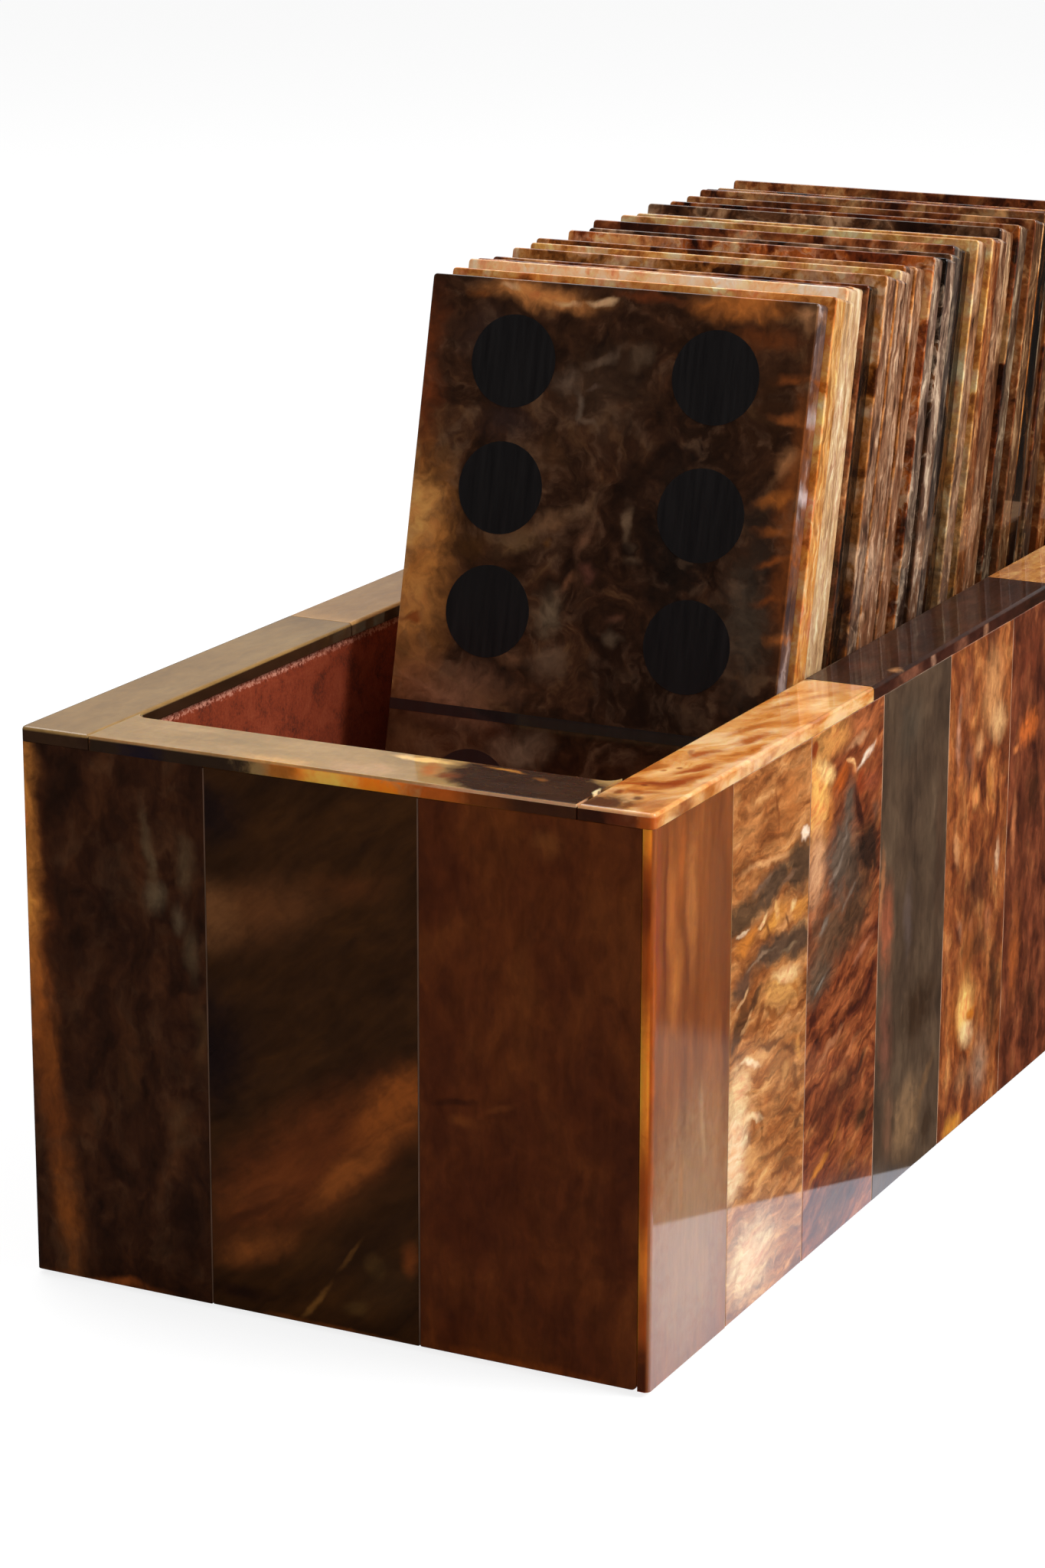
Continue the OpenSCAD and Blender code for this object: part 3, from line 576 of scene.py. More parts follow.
rimLooks = {
    "rim_front": {
        "seed": 3.1, "swirlSize": 7, "swirl": 3, "grain": (12, 3, 5), "glow": 0.3,
        "colours": ["#9a784a", "#a88350", "#b48e5c"], "mottle": 0.1, "fibre": 0.06,
        "fibreSize": (9, 0.7, 0.7),
        "patches": [
            (-8, -105.6, 10, 3, "#dca660", 0.85), (5, -104, 8, 4.6, "#c89a6c", 0.8),
            (28, -101, 15.5, 9, "#34190b", 0.98, 0.25, -14),
            (13, -100.6, 2.2, 4.6, "#b8662c", 0.85, 0.9, 20),
            (16.6, -102.4, 2.6, 2.6, "#7c3e1c", 0.85, 0.9, 30),
            (9.6, -96.6, 6.4, 1.5, "#ffcc80", 0.95, 0.7, -4),
            (22, -96.4, 4, 0.8, "#c07c34", 0.9, 0.7, -6),
            (28.6, -98.4, 2, 0.9, "#8a5424", 0.8, 0.8, -20),
            (38.4, -100.6, 0.45, 2.4, "#ffe2b0", 0.95, 0.7, 15), (30, -103, 7, 2, "#44291a", 0.6),
        ],
        # on the front edge: the orange and gold hues are painted glow of light shining through the
        # horn, the dark ones are where that glow is left out
        "edgePatches": [
            (-34, -107, 27, 4, "#2c1a10", 0.97, 0.3), (-30, -107, 5, 4, "#1e1424", 0.8, 0.8),
            (-43, -107, 4, 4, "#4c2e18", 0.7, 0.9), (3, -107, 14, 4, "#ff840c", 0.97, 0.6),
            (0.6, -107, 6, 4, "#ffc052", 0.97, 0.9), (-7, -107, 4, 4, "#a8601c", 0.9, 0.9),
            (18, -107, 8, 4, "#c0580c", 0.95, 0.7), (25, -107, 6, 4, "#74380e", 0.9, 0.8),
            (35, -107, 9, 4, "#46220e", 0.95, 0.5),
        # painted highlight: the pale line along the front's eased top edge
        ], "paintedArrisHighlight": (34, -107, 22, 4, "#d8ae84", 0.85, 0.4)},
    "rim_right_1": {
        "seed": 13.6, "swirlSize": 10, "swirl": 5, "fray": 0.7, "grain": (4.4, 3, 15),
        "grainTurn": -24, "curl": 0.6, "glow": 0.3, "rampEnds": (0.34, 0.62),
        "colours": ["#b4681f", "#dc9a4e", "#ecbe7e", "#f8dcb0"], "stain": (0.92, 0.72, 0.56),
        "mottle": 0.12, "mottleSize": (1.4, 2, 9), "fibre": 0.06, "torn": 1.7,
        "patches": [
            (41.4, -104.6, 7.6, 5, "#54301e", 0.95, 0.8, 12), (48, -102.4, 3, 5.4, "#b87848", 0.8),
            (45, -100.8, 1.2, 1.2, "#5c2c14", 0.8, 0.8), (41.4, -99.6, 1, 1.6, "#6c381c", 0.8, 0.8),
            (43.6, -98.6, 5.6, 1.6, "#a85a20", 0.9, 0.9, 16),
            (47, -95, 1.8, 3.4, "#eec080", 0.9, 0.8, 10),
            (46.4, -91, 2.6, 7, "#a04808", 0.95, 0.8, -18),
            (43.2, -93, 2.4, 4.6, "#94400a", 0.95, 0.8, -50),
            (41.2, -94.6, 2.4, 1.2, "#b4601c", 0.9, 0.8, 10),
            (42.8, -94.8, 0.8, 0.8, "#7c3408", 0.9, 0.8),
            (45.6, -83.4, 1.8, 6.4, "#a85010", 0.92, 0.8, -26),
            (41.8, -87, 2.4, 5.4, "#ffdca0", 0.85, 0.9, -20),
            (42.8, -84.4, 0.9, 0.9, "#a86420", 0.9, 0.8),
            (41.2, -86.4, 0.8, 0.8, "#b06c28", 0.85, 0.8),
            (43.6, -76, 1.9, 6, "#ac5a18", 0.92, 0.8, -10),
            (41.6, -76, 0.8, 2.2, "#a87048", 0.8, 0.8, 20),
            (45.8, -65, 2, 6, "#b4601a", 0.9, 0.8, -20),
            (45.8, -67.6, 1.1, 2.6, "#b4641c", 0.88, 0.8, -20),
            (43.2, -60, 1.8, 9, "#b8681c", 0.88, 0.9, -16),
            (41.6, -61.6, 0.8, 1.2, "#c08038", 0.8, 0.8), (46, -50, 2.6, 8, "#d8984c", 0.7, 1, -14),
            (42.4, -46, 1.3, 6, "#b46820", 0.88, 0.9, -24),
            (45.4, -38.6, 1.4, 6, "#c07430", 0.85, 0.9, -24),
            (44, -33.6, 6, 4.4, "#e8bc8c", 0.88, 0.9), (47.6, -31, 2.4, 3, "#d8a48c", 0.7, 0.9),
            # the cream line down x = 49.6 is a painted highlight on the rounded outer edge
            (49.6, -75, 1.2, 30, "#ffe8c8", 0.7), (38.2, -29.6, 3.2, 3.2, "#38221a", 0.97, 0.4),
            (50.4, -26.6, 3, 2.4, "#38221a", 0.97, 0.4),
        ],
        "edgePatches": [
            (44, -107, 7, 2.2, "#6c3012", 0.95, 0.5), (39, -107, 5, 4, "#3a1c0e", 0.95, 0.6),
            # the orange at x = 49 on the front end is painted glow of light through the horn
            (49, -107, 2.4, 4, "#c4641c", 0.9, 0.8), (50, -98, 2.4, 5, "#8c4a24", 0.8, 0.9),
            (50, -90, 2.4, 5, "#b0681f", 0.75, 0.9),
        # painted highlight: the pale line on the front end's eased top edge
        ], "paintedArrisHighlight": (42, -107, 9, 4, "#ecc89c", 0.9, 0.4)},
    "rim_right_2": {
        "seed": 23.9, "swirlSize": 8, "swirl": 3, "grain": (4, 3, 12),
        "colours": ["#26130a", "#33190d", "#402215"], "mottle": 0.35, "fibre": 0.12,
        "lacquer": 0.4,
        "patches": [
            (48.8, -19, 1.4, 2.6, "#a8764c", 0.85, 0.9), (43, -18, 4, 5, "#4c2414", 0.7),
        ],
        "edgePatches": [
            (50, 0, 4, 40, "#3c1c12", 0.9, 0.5), (50, -16, 4, 7, "#7c4a34", 0.8, 0.9),
            (50, -6, 4, 1.6, "#b08064", 0.8, 0.9), (50, 6, 4, 4, "#7c4a34", 0.8, 0.9),
            (50, 17, 4, 1.4, "#a87454", 0.8, 0.9),
        ]},
    "rim_right_3": {
        "seed": 33.2, "swirlSize": 8, "swirl": 3, "grain": (4, 3, 12),
        "colours": ["#b46c2e", "#cc8a48", "#dfa664"]},
    # rim_left_2's hues are lighter than rim_left_1's: painted light that makes up for the tile
    # row's shadow on it, so that both look alike
    "rim_left_1": {
        "seed": 43.7, "swirlSize": 9, "swirl": 3, "grain": (7, 3, 22),
        "colours": ["#8a6838", "#93703f", "#9c7a48"], "mottle": 0.1, "fibre": 0.06,
        "edgePatches": [
            (-38, -66, 4, 60, "#2a160c", 0.97, 0.3), (-44, -107, 9, 4, "#3a2212", 0.97, 0.3),
        ]},
    "rim_left_2": {
        "seed": 53.4, "swirlSize": 9, "swirl": 3, "grain": (7, 3, 22),
        "colours": ["#b8884e", "#c39357", "#cc9e64"], "mottle": 0.1, "fibre": 0.06,
        "edgePatches": [(-38, 8, 4, 60, "#2a160c", 0.97, 0.3)]},
    "rim_left_3": {
        "seed": 63.1, "swirlSize": 8, "swirl": 3, "grain": (4, 3, 12),
        "colours": ["#5c3c20", "#7a542e", "#946c42"]},
    "rim_back": {
        "seed": 73.5, "swirlSize": 8, "swirl": 3, "grain": (10, 3, 4),
        "colours": ["#5a351a", "#8a5a2c", "#b48044"], "fibreSize": (9, 0.7, 0.7)},
}


def rimPiece(source, look):
    # a copy of the CAD piece, merged, with the worn edges of a rim that hands slide over
    bm = bmesh.new()
    bm.from_mesh(nodes[source].data)
    bmesh.ops.remove_doubles(bm, verts=bm.verts, dist=1e-7)
    bmesh.ops.dissolve_limit(bm, angle_limit=0.01, verts=bm.verts, edges=bm.edges)
    low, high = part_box(source)
    if source in ("rim_front", "rim_back"):
        joints = ["x-", "x+"]
    else:
        joints = [side for side, y in (("y-", low.y), ("y+", high.y))
                  if abs(abs(y) - boxSize["halfLength"]) > touching]
    soft = [e for e in sharpEdges(bm)
            if all(onSide(v, "z+", low, high) for v in e.verts)
            and not any(all(onSide(v, side, low, high) for v in e.verts) for side in joints)]
    roundEdges(bm, soft, rim["topArris"] * mm, 4)
    roundEdges(bm, sharpEdges(bm), rim["joint"] * mm, 2)
    bmesh.ops.recalc_face_normals(bm, faces=bm.faces)
    material = hornMaterial("lacqueredHorn_" + source, {**look, **topFace})
    placePiece(bm, source + "_horn", "case", [material], [source])


for source, look in rimLooks.items():
    rimPiece(source, look)


print("stage: glue lines")

glue = {
    "behindFace": 0.06,     # how far the dried resin sits below the lacquer, mm
    "depth": 1.5,
    "overlap": 0.02,
    "end": 0.2,             # how far a seam's line stops short of the strips' ends, mm
    "rimEnd": 0.6,          # the same under the side rims
    "underRim": 0.11,       # half the height of the line under the side rims, mm
    "hue": "#c09070",
    # the front and back seams take a darker copy of the same resin: painted shade
    "frontHue": "#74503a",
}


def glueMaterial(name, hue):
    # dried epoxy in the seams: pale, a little cloudy, smooth
    material, tree, point = startMaterial(name)
    cloud = addNode(tree, "ShaderNodeTexNoise", None, {
        "Vector": point, "Scale": 1 / (6 * mm), "Detail": 3})
    colour = addNode(tree, "ShaderNodeValToRGB", {
        "stops": [(0.35, "#5e4430"), (0.6, hue)]}, {"Fac": cloud})
    return finishMaterial(material, colour, cloud, (0.3, 0.5), (0.3, 0.02), {"IOR": 1.55})


def glueLines():
    inset, depth, overlap, end, rimEnd, half = [glue[key] * mm for key in (
        "behindFace", "depth", "overlap", "end", "rimEnd", "underRim")]
    # low corner, high corner and which copy of the resin: 1 is its darker copy, painted shade on
    # the front and back seams
    lines = []
    for k in (1, 2):
        low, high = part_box(f"front_strip_{k}")
        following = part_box(f"front_strip_{k + 1}")[0]
        lines.append((
            Vector((high.x - overlap, low.y + inset, low.z + end)),
            Vector((following.x + overlap, low.y + inset + depth, high.z - end)), 1))
    for k in range(1, 8):
        low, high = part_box(f"right_strip_{k}")
        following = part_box(f"right_strip_{k + 1}")[0]
        lines.append((
            Vector((high.x - inset - depth, high.y - overlap, low.z + end)),
            Vector((high.x - inset, following.y + overlap, high.z - end)), 0))
    first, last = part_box("right_strip_1"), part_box("right_strip_8")
    top = first[1]
    lines.append((
        Vector((top.x - inset - depth, first[0].y + rimEnd, top.z - half)),
        Vector((top.x - inset, last[1].y - rimEnd, top.z + half)), 0))
    bm = bmesh.new()
    for low, high, resin in lines:
        for turn in (0, math.pi):
            block = addBlock(bm, low, high, turn)
            for face in {f for v in block for f in v.link_faces}:
                face.material_index = resin
    # the second is the same resin painted darker: painted shade on the front and back seams
    materials = [
        glueMaterial("paleResin", glue["hue"]), glueMaterial("paleResinShaded", glue["frontHue"])]
    placePiece(bm, "glue_lines", "case", materials)


glueLines()


print("stage: tiles")

tiles = {
    "lean": 13.2,           # degrees; all the rest in mm
    "thick": 4.1,
    "corner": 0.6,
    "arris": 0.22,
    "pip": 14.4,            # across
    "pipSide": 15.4,        # from a tile's side to the middle of the pips beside it
    "pipHead": 12.4,        # the same from the upper end of a half
    "pipFoot": 15.1,        # and from its lower end
    "pipDrift": 0.95,       # how far the pips are out of line, as they were bored by hand
    "bar": 1.7,
    "inlay": 1.2,
    "proud": 0.03,          # inlays stand this far out, so that they don't fight the slab
}

# what each kind of horn shows, dark to light
hornKinds = {
    "amber": ["#b8621c", "#dc8a3e", "#eca45c", "#f4c48c"],
    "honey": ["#965a22", "#b87c3e", "#cc9656", "#e0b886"],
    "cream": ["#ac7c4c", "#c49a6c", "#d4b086", "#e8cea8"],
    "ivory": ["#f4bc84", "#ffd0a0", "#ffddb8", "#ffeedc"],
    "wheat": ["#a8602a", "#e0984c", "#fac07c", "#ffe2b4"],
    "stone": ["#3a2a22", "#624c42", "#866e5e", "#c8b29e"],
    "gold": ["#502408", "#a45c20", "#d08848", "#f2bc90"],
    "rust": ["#2a1006", "#70300e", "#a85a24", "#d49a64"],
    "bog": ["#0c0704", "#170c06", "#241408", "#5a3414"],
    "bark": ["#2e170c", "#56341e", "#80583c", "#bc9472"],
    "tan": ["#3c2010", "#7a4e36", "#a4785a", "#d6ae90"],
    "ash": ["#221916", "#3a2f2c", "#54483f", "#94806f"],
    "umber": ["#3c1808", "#783a18", "#a46034", "#d89e6c"],
}
# from the second tile to the last: the kind on the face, on the face's margin and on the sawn
# edge
tileKinds = [
    "amber amber honey", "cream cream cream", "ivory cream cream",
    "rust cream cream", "umber bog bog", "gold ash tan", "gold tan tan", "wheat tan tan",
    "gold tan tan", "gold tan tan", "rust bog stone", "bog bark stone", "bark ash ash",
    "umber ash ash", "bog bog bog", "wheat stone tan", "wheat bark umber", "bark tan tan",
    "bark tan tan", "rust tan tan", "rust bog stone", "umber bark bark", "gold bog bog",
    "umber ash ash", "rust bark bark", "rust ash bark", "umber umber umber",
]
# what multiplies the hues along the row, from the tile with this index on
rowStains = {
    1: (1, 1, 1), 5: (0.88, 0.86, 0.8), 11: (1.12, 1.04, 0.92), 16: (0.8, 0.76, 0.66),
    20: (0.74, 0.7, 0.56)}
edgeLook = {
    "grain": (9, 1.7, 10), "swirlSize": 8, "swirl": 4, "curl": 0.7, "fibre": 0.2,
    "mottle": 0.5, "fibreSize": (3, 0.5, 8), "mottleSize": (2.6, 0.8, 3.6),
    "rampEnds": (0.38, 0.62)}
frontTile = {
    "grain": (9, 4, 9), "swirlSize": 10, "swirl": 9, "curl": 1.3, "mottle": 0.28, "fibre": 0.08,
    "colours": ["#27160b", "#382110", "#4a2d19", "#644529"], "torn": 1.8, "fray": 1.1,
    "stain": (0.98, 0.88, 0.84), "sideColours": ["#282020", "#4c4242", "#625654", "#b4a8a6"],
    "mottleSize": (3.0, 2.0, 3.6), "fibreSize": (2, 1, 4),
    "wisps": ("#80664e", 20, 0.07, 0.25),
    "patches": [
        (14, 98, 10, 30, "#1e1610", 0.9), (5, 76, 8, 13, "#2e1a0c", 0.8),
        (14, 72, 14, 8, "#2b190b", 0.8), (5, 107, 5, 12, "#2c1a0e", 0.8),
        (-32.6, 118, 5.4, 22, "#7c3c16", 0.9), (-22, 127, 9, 5, "#3a2820", 0.85, 1, 4),
        (-17, 113, 9, 5, "#3c2a24", 0.8), (-30.6, 89, 10.4, 25, "#d48c42", 0.96),
        (-31.6, 98, 5, 8, "#f0b060", 0.85), (-29, 84, 5, 6, "#d8944c", 0.8, 1, 10),
        (-29.4, 81, 2.4, 0.8, "#8c4416", 0.85, 0.9, 14), (-28, 73, 7, 7, "#9a6440", 0.88),
        (-32.8, 84, 1.8, 34, "#dcaa68", 0.8), (-20, 70, 13, 7, "#94684c", 0.85),
        (-20, 95, 4, 5, "#5e3b14", 0.7), (-14, 133.2, 15, 3.2, "#e49650", 0.94, 1, -4),
        (-18.6, 133.6, 3, 0.9, "#e8bc88", 0.85, 0.9),
        (-8.6, 132.6, 3.4, 1.1, "#e0b07c", 0.85, 0.9, 12),
        (-3, 133, 2.8, 1.1, "#ecc492", 0.85, 0.9, -10), (-24, 132.6, 3.4, 1.6, "#8c5020", 0.8),
        (5, 133.4, 9, 1.4, "#7a3c18", 0.8, 1, -4), (20, 133.4, 12, 3.2, "#d07c34", 0.94),
        (24, 129, 8, 3, "#743c14", 0.8), (31, 132.6, 2.8, 2.8, "#c89060", 0.85),
        (-1, 119, 12, 10, "#4c3624", 0.8, 1, 20), (-7, 119.6, 3, 3, "#75604e", 0.7, 1, 40),
        (-1.4, 123.6, 5.4, 1, "#6e5a48", 0.7, 1, 24), (4.6, 124.6, 3, 2.2, "#66523e", 0.65),
        (-4.6, 115.6, 1.2, 3.8, "#746454", 0.7, 1, 14),
        (-2.4, 113, 2.4, 0.8, "#7a6450", 0.7, 1, -20),
        (-1.8, 118.8, 2.4, 0.8, "#70594a", 0.65, 1, 20), (-8.6, 108, 4.4, 4.4, "#583a20", 0.7),
        (-9, 98.4, 8.4, 2.6, "#7c5a3c", 0.85, 1, 26), (-4, 100.8, 3.4, 1.6, "#806348", 0.75, 1, 30),
        (-13, 94.4, 4.6, 3, "#84643f", 0.85, 1, 24), (-8.6, 94.6, 1.2, 1.6, "#6c4418", 0.8, 0.9),
        (-2.2, 96.4, 1.7, 4.2, "#8a6044", 0.75, 1, -8), (-0.4, 91.6, 2.2, 2.4, "#7c4c3a", 0.75),
        (5.4, 99, 1.5, 4.2, "#846c52", 0.8, 1, 6), (6.6, 94.4, 2, 1.2, "#64503c", 0.7, 1, 10),
        (-4, 89.4, 3.2, 1.2, "#84583a", 0.8, 1, 50),
        (-6.8, 84.6, 3.4, 5.4, "#88745a", 0.92, 1, -20), (-6.6, 76.4, 4.6, 4.4, "#6c5440", 0.9),
        (-12.6, 77, 3.4, 2.4, "#7c563a", 0.8, 1, 20), (4.6, 84.6, 1.8, 1.4, "#6c4632", 0.75),
        (5, 81.2, 2.4, 2, "#75624c", 0.75), (-13, 71, 8, 2.4, "#6c482e", 0.65, 1, 10),
        (26, 86, 6.4, 17, "#54483a", 0.88), (26.6, 101, 4.4, 9, "#30261e", 0.85),
        (26, 118, 6, 10, "#3c2410", 0.7), (29.8, 110.6, 3.2, 3.4, "#b88050", 0.9),
        (31.8, 104, 3.4, 32, "#84481a", 0.88), (29.6, 123, 4.6, 1.6, "#8c4c1c", 0.85, 1, 8),
        (29.4, 117, 4.4, 1.4, "#a05c28", 0.85, 1, -6),
        (29.4, 105.4, 4.8, 1.5, "#b06828", 0.9, 1, 8),
        (29.4, 100.6, 4.6, 1.3, "#a05c24", 0.88, 1, 12),
        (29.8, 95.4, 4.2, 1.3, "#985420", 0.85, 1, 8), (30.2, 90, 3.6, 1.2, "#8c4c1c", 0.85, 1, 10),
        (30.8, 83.6, 3.2, 1.4, "#a8642c", 0.88), (-9, 62.6, 8, 4, "#8c7058", 0.9, 1, 10),
        (-27, 62, 7, 5, "#6c4c30", 0.8),
    ],
    "edgePatches": [
        (33, 117.4, 4, 2.2, "#b8acac", 0.85, 0.9), (33, 106, 4, 2, "#c4b8b8", 0.85, 0.9),
        (33, 88, 4, 4, "#342a2c", 0.85, 0.9), (33, 76, 4, 2.4, "#a89c9c", 0.85, 0.9),
    ]}


def inlayMaterial():
    # black buffalo horn, polished flush: nearly even, with faint brown fibres
    material, tree, point = startMaterial("blackHornInlay")
    space = addNode(tree, "ShaderNodeMapping", {"vector_type": "TEXTURE"}, {
        "Vector": point, "Rotation": (-math.radians(tiles["lean"]), 0, 0),
        "Scale": (0.8 * mm, 0.8 * mm, 12 * mm)})
    fibre = addNode(tree, "ShaderNodeTexNoise", None, {
        "Vector": space, "Scale": 1, "Detail": 4, "Roughness": 0.6})
    colour = addNode(tree, "ShaderNodeValToRGB", {
        "stops": [(0.3, "#171314"), (0.7, "#201b1b")]}, {"Fac": fibre})
    return finishMaterial(material, colour, fibre, (0.32, 0.5), (0.4, 0.01), {
        "IOR": 1.54, "Coat Weight": 0.6, "Coat Roughness": 0.06, "Coat IOR": 1.5})


def pipSpots(number):
    spots = [(0, 0)] if number % 2 else []
    if number >= 2:
        spots += [(-1, 1), (1, -1)]
    if number >= 4:
        spots += [(1, 1), (-1, -1)]
    if number == 6:
        spots += [(-1, 0), (1, 0)]
    return spots


def tilePiece(index, numbers, blackHorn):
    name = f"tile_{numbers[0]}_{numbers[1]}"
    size = {key: value * mm for key, value in tiles.items() if key != "lean"}
    low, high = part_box(name)
    lean = math.radians(tiles["lean"])
    foot = size["thick"] * math.sin(lean)
    width = high.x - low.x
    length = (high.z - low.z - foot) / math.cos(lean)
    # built upright with its face on y = 0 and its foot on z = 0, then leaned back into place
    slabLow = Vector((-width / 2, 0, 0))
    slabHigh = Vector((width / 2, size["thick"], length))
    bm = bmesh.new()
    addBlock(bm, slabLow, slabHigh)
    for across in ("x-", "x+"):
        for along in ("z-", "z+"):
            roundCorner(bm, slabLow, slabHigh, (across, along), size["corner"])
    roundEdges(bm, sharpEdges(bm), size["arris"], 3)
    sunk = size["inlay"] / 2 - size["proud"]
    row = (length / 2 - size["pipHead"] - size["pipFoot"]) / 2
    black = []
    for half, number in enumerate(numbers):
        top = length * (2 - half) / 2
        for k, (column, line) in enumerate(pipSpots(number)):
            # scattered as in the CAD part, by an angle that steps from pip to pip
            scatter = math.radians(85 * (k + 6 * half + 5 * index) + 10)
            drift = size["pipDrift"] * math.sin(scatter)
            pip = bmesh.ops.create_cone(
                bm, cap_ends=True, segments=40, radius1=size["pip"] / 2, radius2=size["pip"] / 2,
                depth=size["inlay"])["verts"]
            bmesh.ops.rotate(bm, verts=pip, cent=(0, 0, 0), matrix=Matrix.Rotation(quarter, 3, "X"))
            bmesh.ops.translate(bm, verts=pip, vec=(
                column * (width / 2 - size["pipSide"]), sunk,
                top - size["pipHead"] - row * (1 - line) - drift))
            black += pip
    bar = bmesh.ops.create_cube(bm, size=1)["verts"]
    bmesh.ops.scale(bm, vec=(width + 2 * size["proud"], size["inlay"], size["bar"]), verts=bar)
    bmesh.ops.translate(bm, vec=(0, sunk, length / 2), verts=bar)
    ends = [e for e in bm.edges
            if all(v in bar and v.co.y < 0 for v in e.verts)
            and abs(e.verts[0].co.x - e.verts[1].co.x) < touching]
    black = {v for v in roundEdges(bm, ends, size["arris"], 3, smooth=False)} | {
        v for v in black + bar if v.is_valid}
    for face in bm.faces:
        if all(v in black for v in face.verts):
            face.material_index = 1
    origin = Vector(((low.x + high.x) / 2, low.y, low.z + foot))
    bmesh.ops.transform(
        bm, matrix=Matrix.Translation(origin) @ Matrix.Rotation(-lean, 4, "X"), verts=bm.verts)
    bmesh.ops.recalc_face_normals(bm, faces=bm.faces)
    if index == 0:
        look = dict(frontTile)
    else:
        face, margin, edge = [hornKinds[kind] for kind in tileKinds[index - 1].split()]
        look = {**edgeLook, "colours": face, "sideColours": edge,
                "patches": [(37, 46, 15, 86, margin[1], 0.96, 0.8)],
                "wisps": (edge[3], 7, 0.05, 0.4),
                "stain": rowStains[max(first for first in rowStains if first <= index)]}
    look.update(seed=5.3 + 3.7 * index, origin=origin, turn=(-lean, 0, 0))
    horn = hornMaterial("polishedHorn_" + name, look)
    placePiece(bm, name + "_horn", name, [horn, blackHorn], [name])


blackHorn = inlayMaterial()
for index, numbers in enumerate((a, b) for a in range(6, -1, -1) for b in range(a, -1, -1)):
    tilePiece(index, numbers, blackHorn)


print("stage: suede, felt and plywood")

sheets = {
    "hue": "#7e2f14",       # of the suede
    "deep": "#4c1a09",
    "bright": "#8c3e22",
    "worn": "#d09078",
    "wornHeight": (78.6, 80.6),     # where the lining turns pale towards its upper edge, mm
    "ply": 1.3,             # thickness of one veneer of the plywood, mm
    "wave": 0.14,           # how far the glued suede is out of true, mm
    "waveScale": 70,        # waves per metre
    "cell": 2.6,            # size of the mesh's cells, mm
    "edge": 1.2,            # width of the edge that is pressed down, mm
    "edgeDrop": 0.25,
}


def suedeMaterial():
    # split calf suede, rust red: a short brushed nap that takes no shine, paler where it is cut
    # along the top and where it has been rubbed
    material, tree, point = startMaterial("rustSuede")
    # nap tufts of about 0.35 mm, drawn at 0.5 mm so that they show
    nap = addNode(tree, "ShaderNodeTexNoise", None, {
        "Vector": point, "Scale": 1 / (0.5 * mm), "Detail": 4, "Roughness": 0.7})
    brushed = addNode(tree, "ShaderNodeTexNoise", None, {
        "Vector": point, "Scale": 1 / (5 * mm), "Detail": 4, "Roughness": 0.6, "Distortion": 0.6})
    tone = addNode(tree, "ShaderNodeMath", {"operation": "MULTIPLY_ADD"}, {
        0: nap, 1: 0.45, 2: addNode(tree, "ShaderNodeMath", {"operation": "MULTIPLY"}, {
            0: brushed, 1: 0.55})})
    colour = addNode(tree, "ShaderNodeValToRGB", {"stops": [
        (0.36, sheets["deep"]), (0.5, sheets["hue"]), (0.66, sheets["bright"])]}, {"Fac": tone})
    height = addNode(tree, "ShaderNodeSeparateXYZ", None, {"Vector": point}).outputs["Z"]
    rise = addNode(tree, "ShaderNodeMapRange", {"interpolation_type": "SMOOTHSTEP"}, {
        "Value": height, "From Min": sheets["wornHeight"][0] * mm,
        "From Max": sheets["wornHeight"][1] * mm, "To Min": -0.35, "To Max": 0.2})
    speckled = addNode(tree, "ShaderNodeMath", {"operation": "ADD"}, {0: rise, 1: nap})
    cut = addNode(tree, "ShaderNodeMapRange", {"interpolation_type": "SMOOTHSTEP"}, {
        "Value": speckled, "From Min": 0.58, "From Max": 0.8, "To Min": 0, "To Max": 0.8})
    colour = addNode(tree, "ShaderNodeMix", {"data_type": "RGBA"}, {
        "Factor": cut, "A": colour, "B": sheets["worn"]})
    return finishMaterial(material, colour, nap, (0.82, 0.98), (0.8, 0.15), {
        "IOR": 1.5, "Specular IOR Level": 0.2, "Sheen Weight": 0.15, "Sheen Roughness": 0.5,
        "Sheen Tint": "#d08060"})


def feltMaterial():
    # pressed brown wool felt: matt, hairy, slightly mottled
    material, tree, point = startMaterial("brownFelt")
    hair = addNode(tree, "ShaderNodeTexNoise", None, {
        "Vector": point, "Scale": 1 / (0.6 * mm), "Detail": 5, "Roughness": 0.75,
        "Distortion": 1.5})
    colour = addNode(tree, "ShaderNodeValToRGB", {
        "stops": [(0.35, "#1f1510"), (0.55, "#2e2019"), (0.7, "#413128")]}, {"Fac": hair})
    return finishMaterial(material, colour, hair, (0.88, 1), (0.8, 0.2), {
        "Sheen Weight": 0.3, "Sheen Roughness": 0.6, "Specular IOR Level": 0.2})


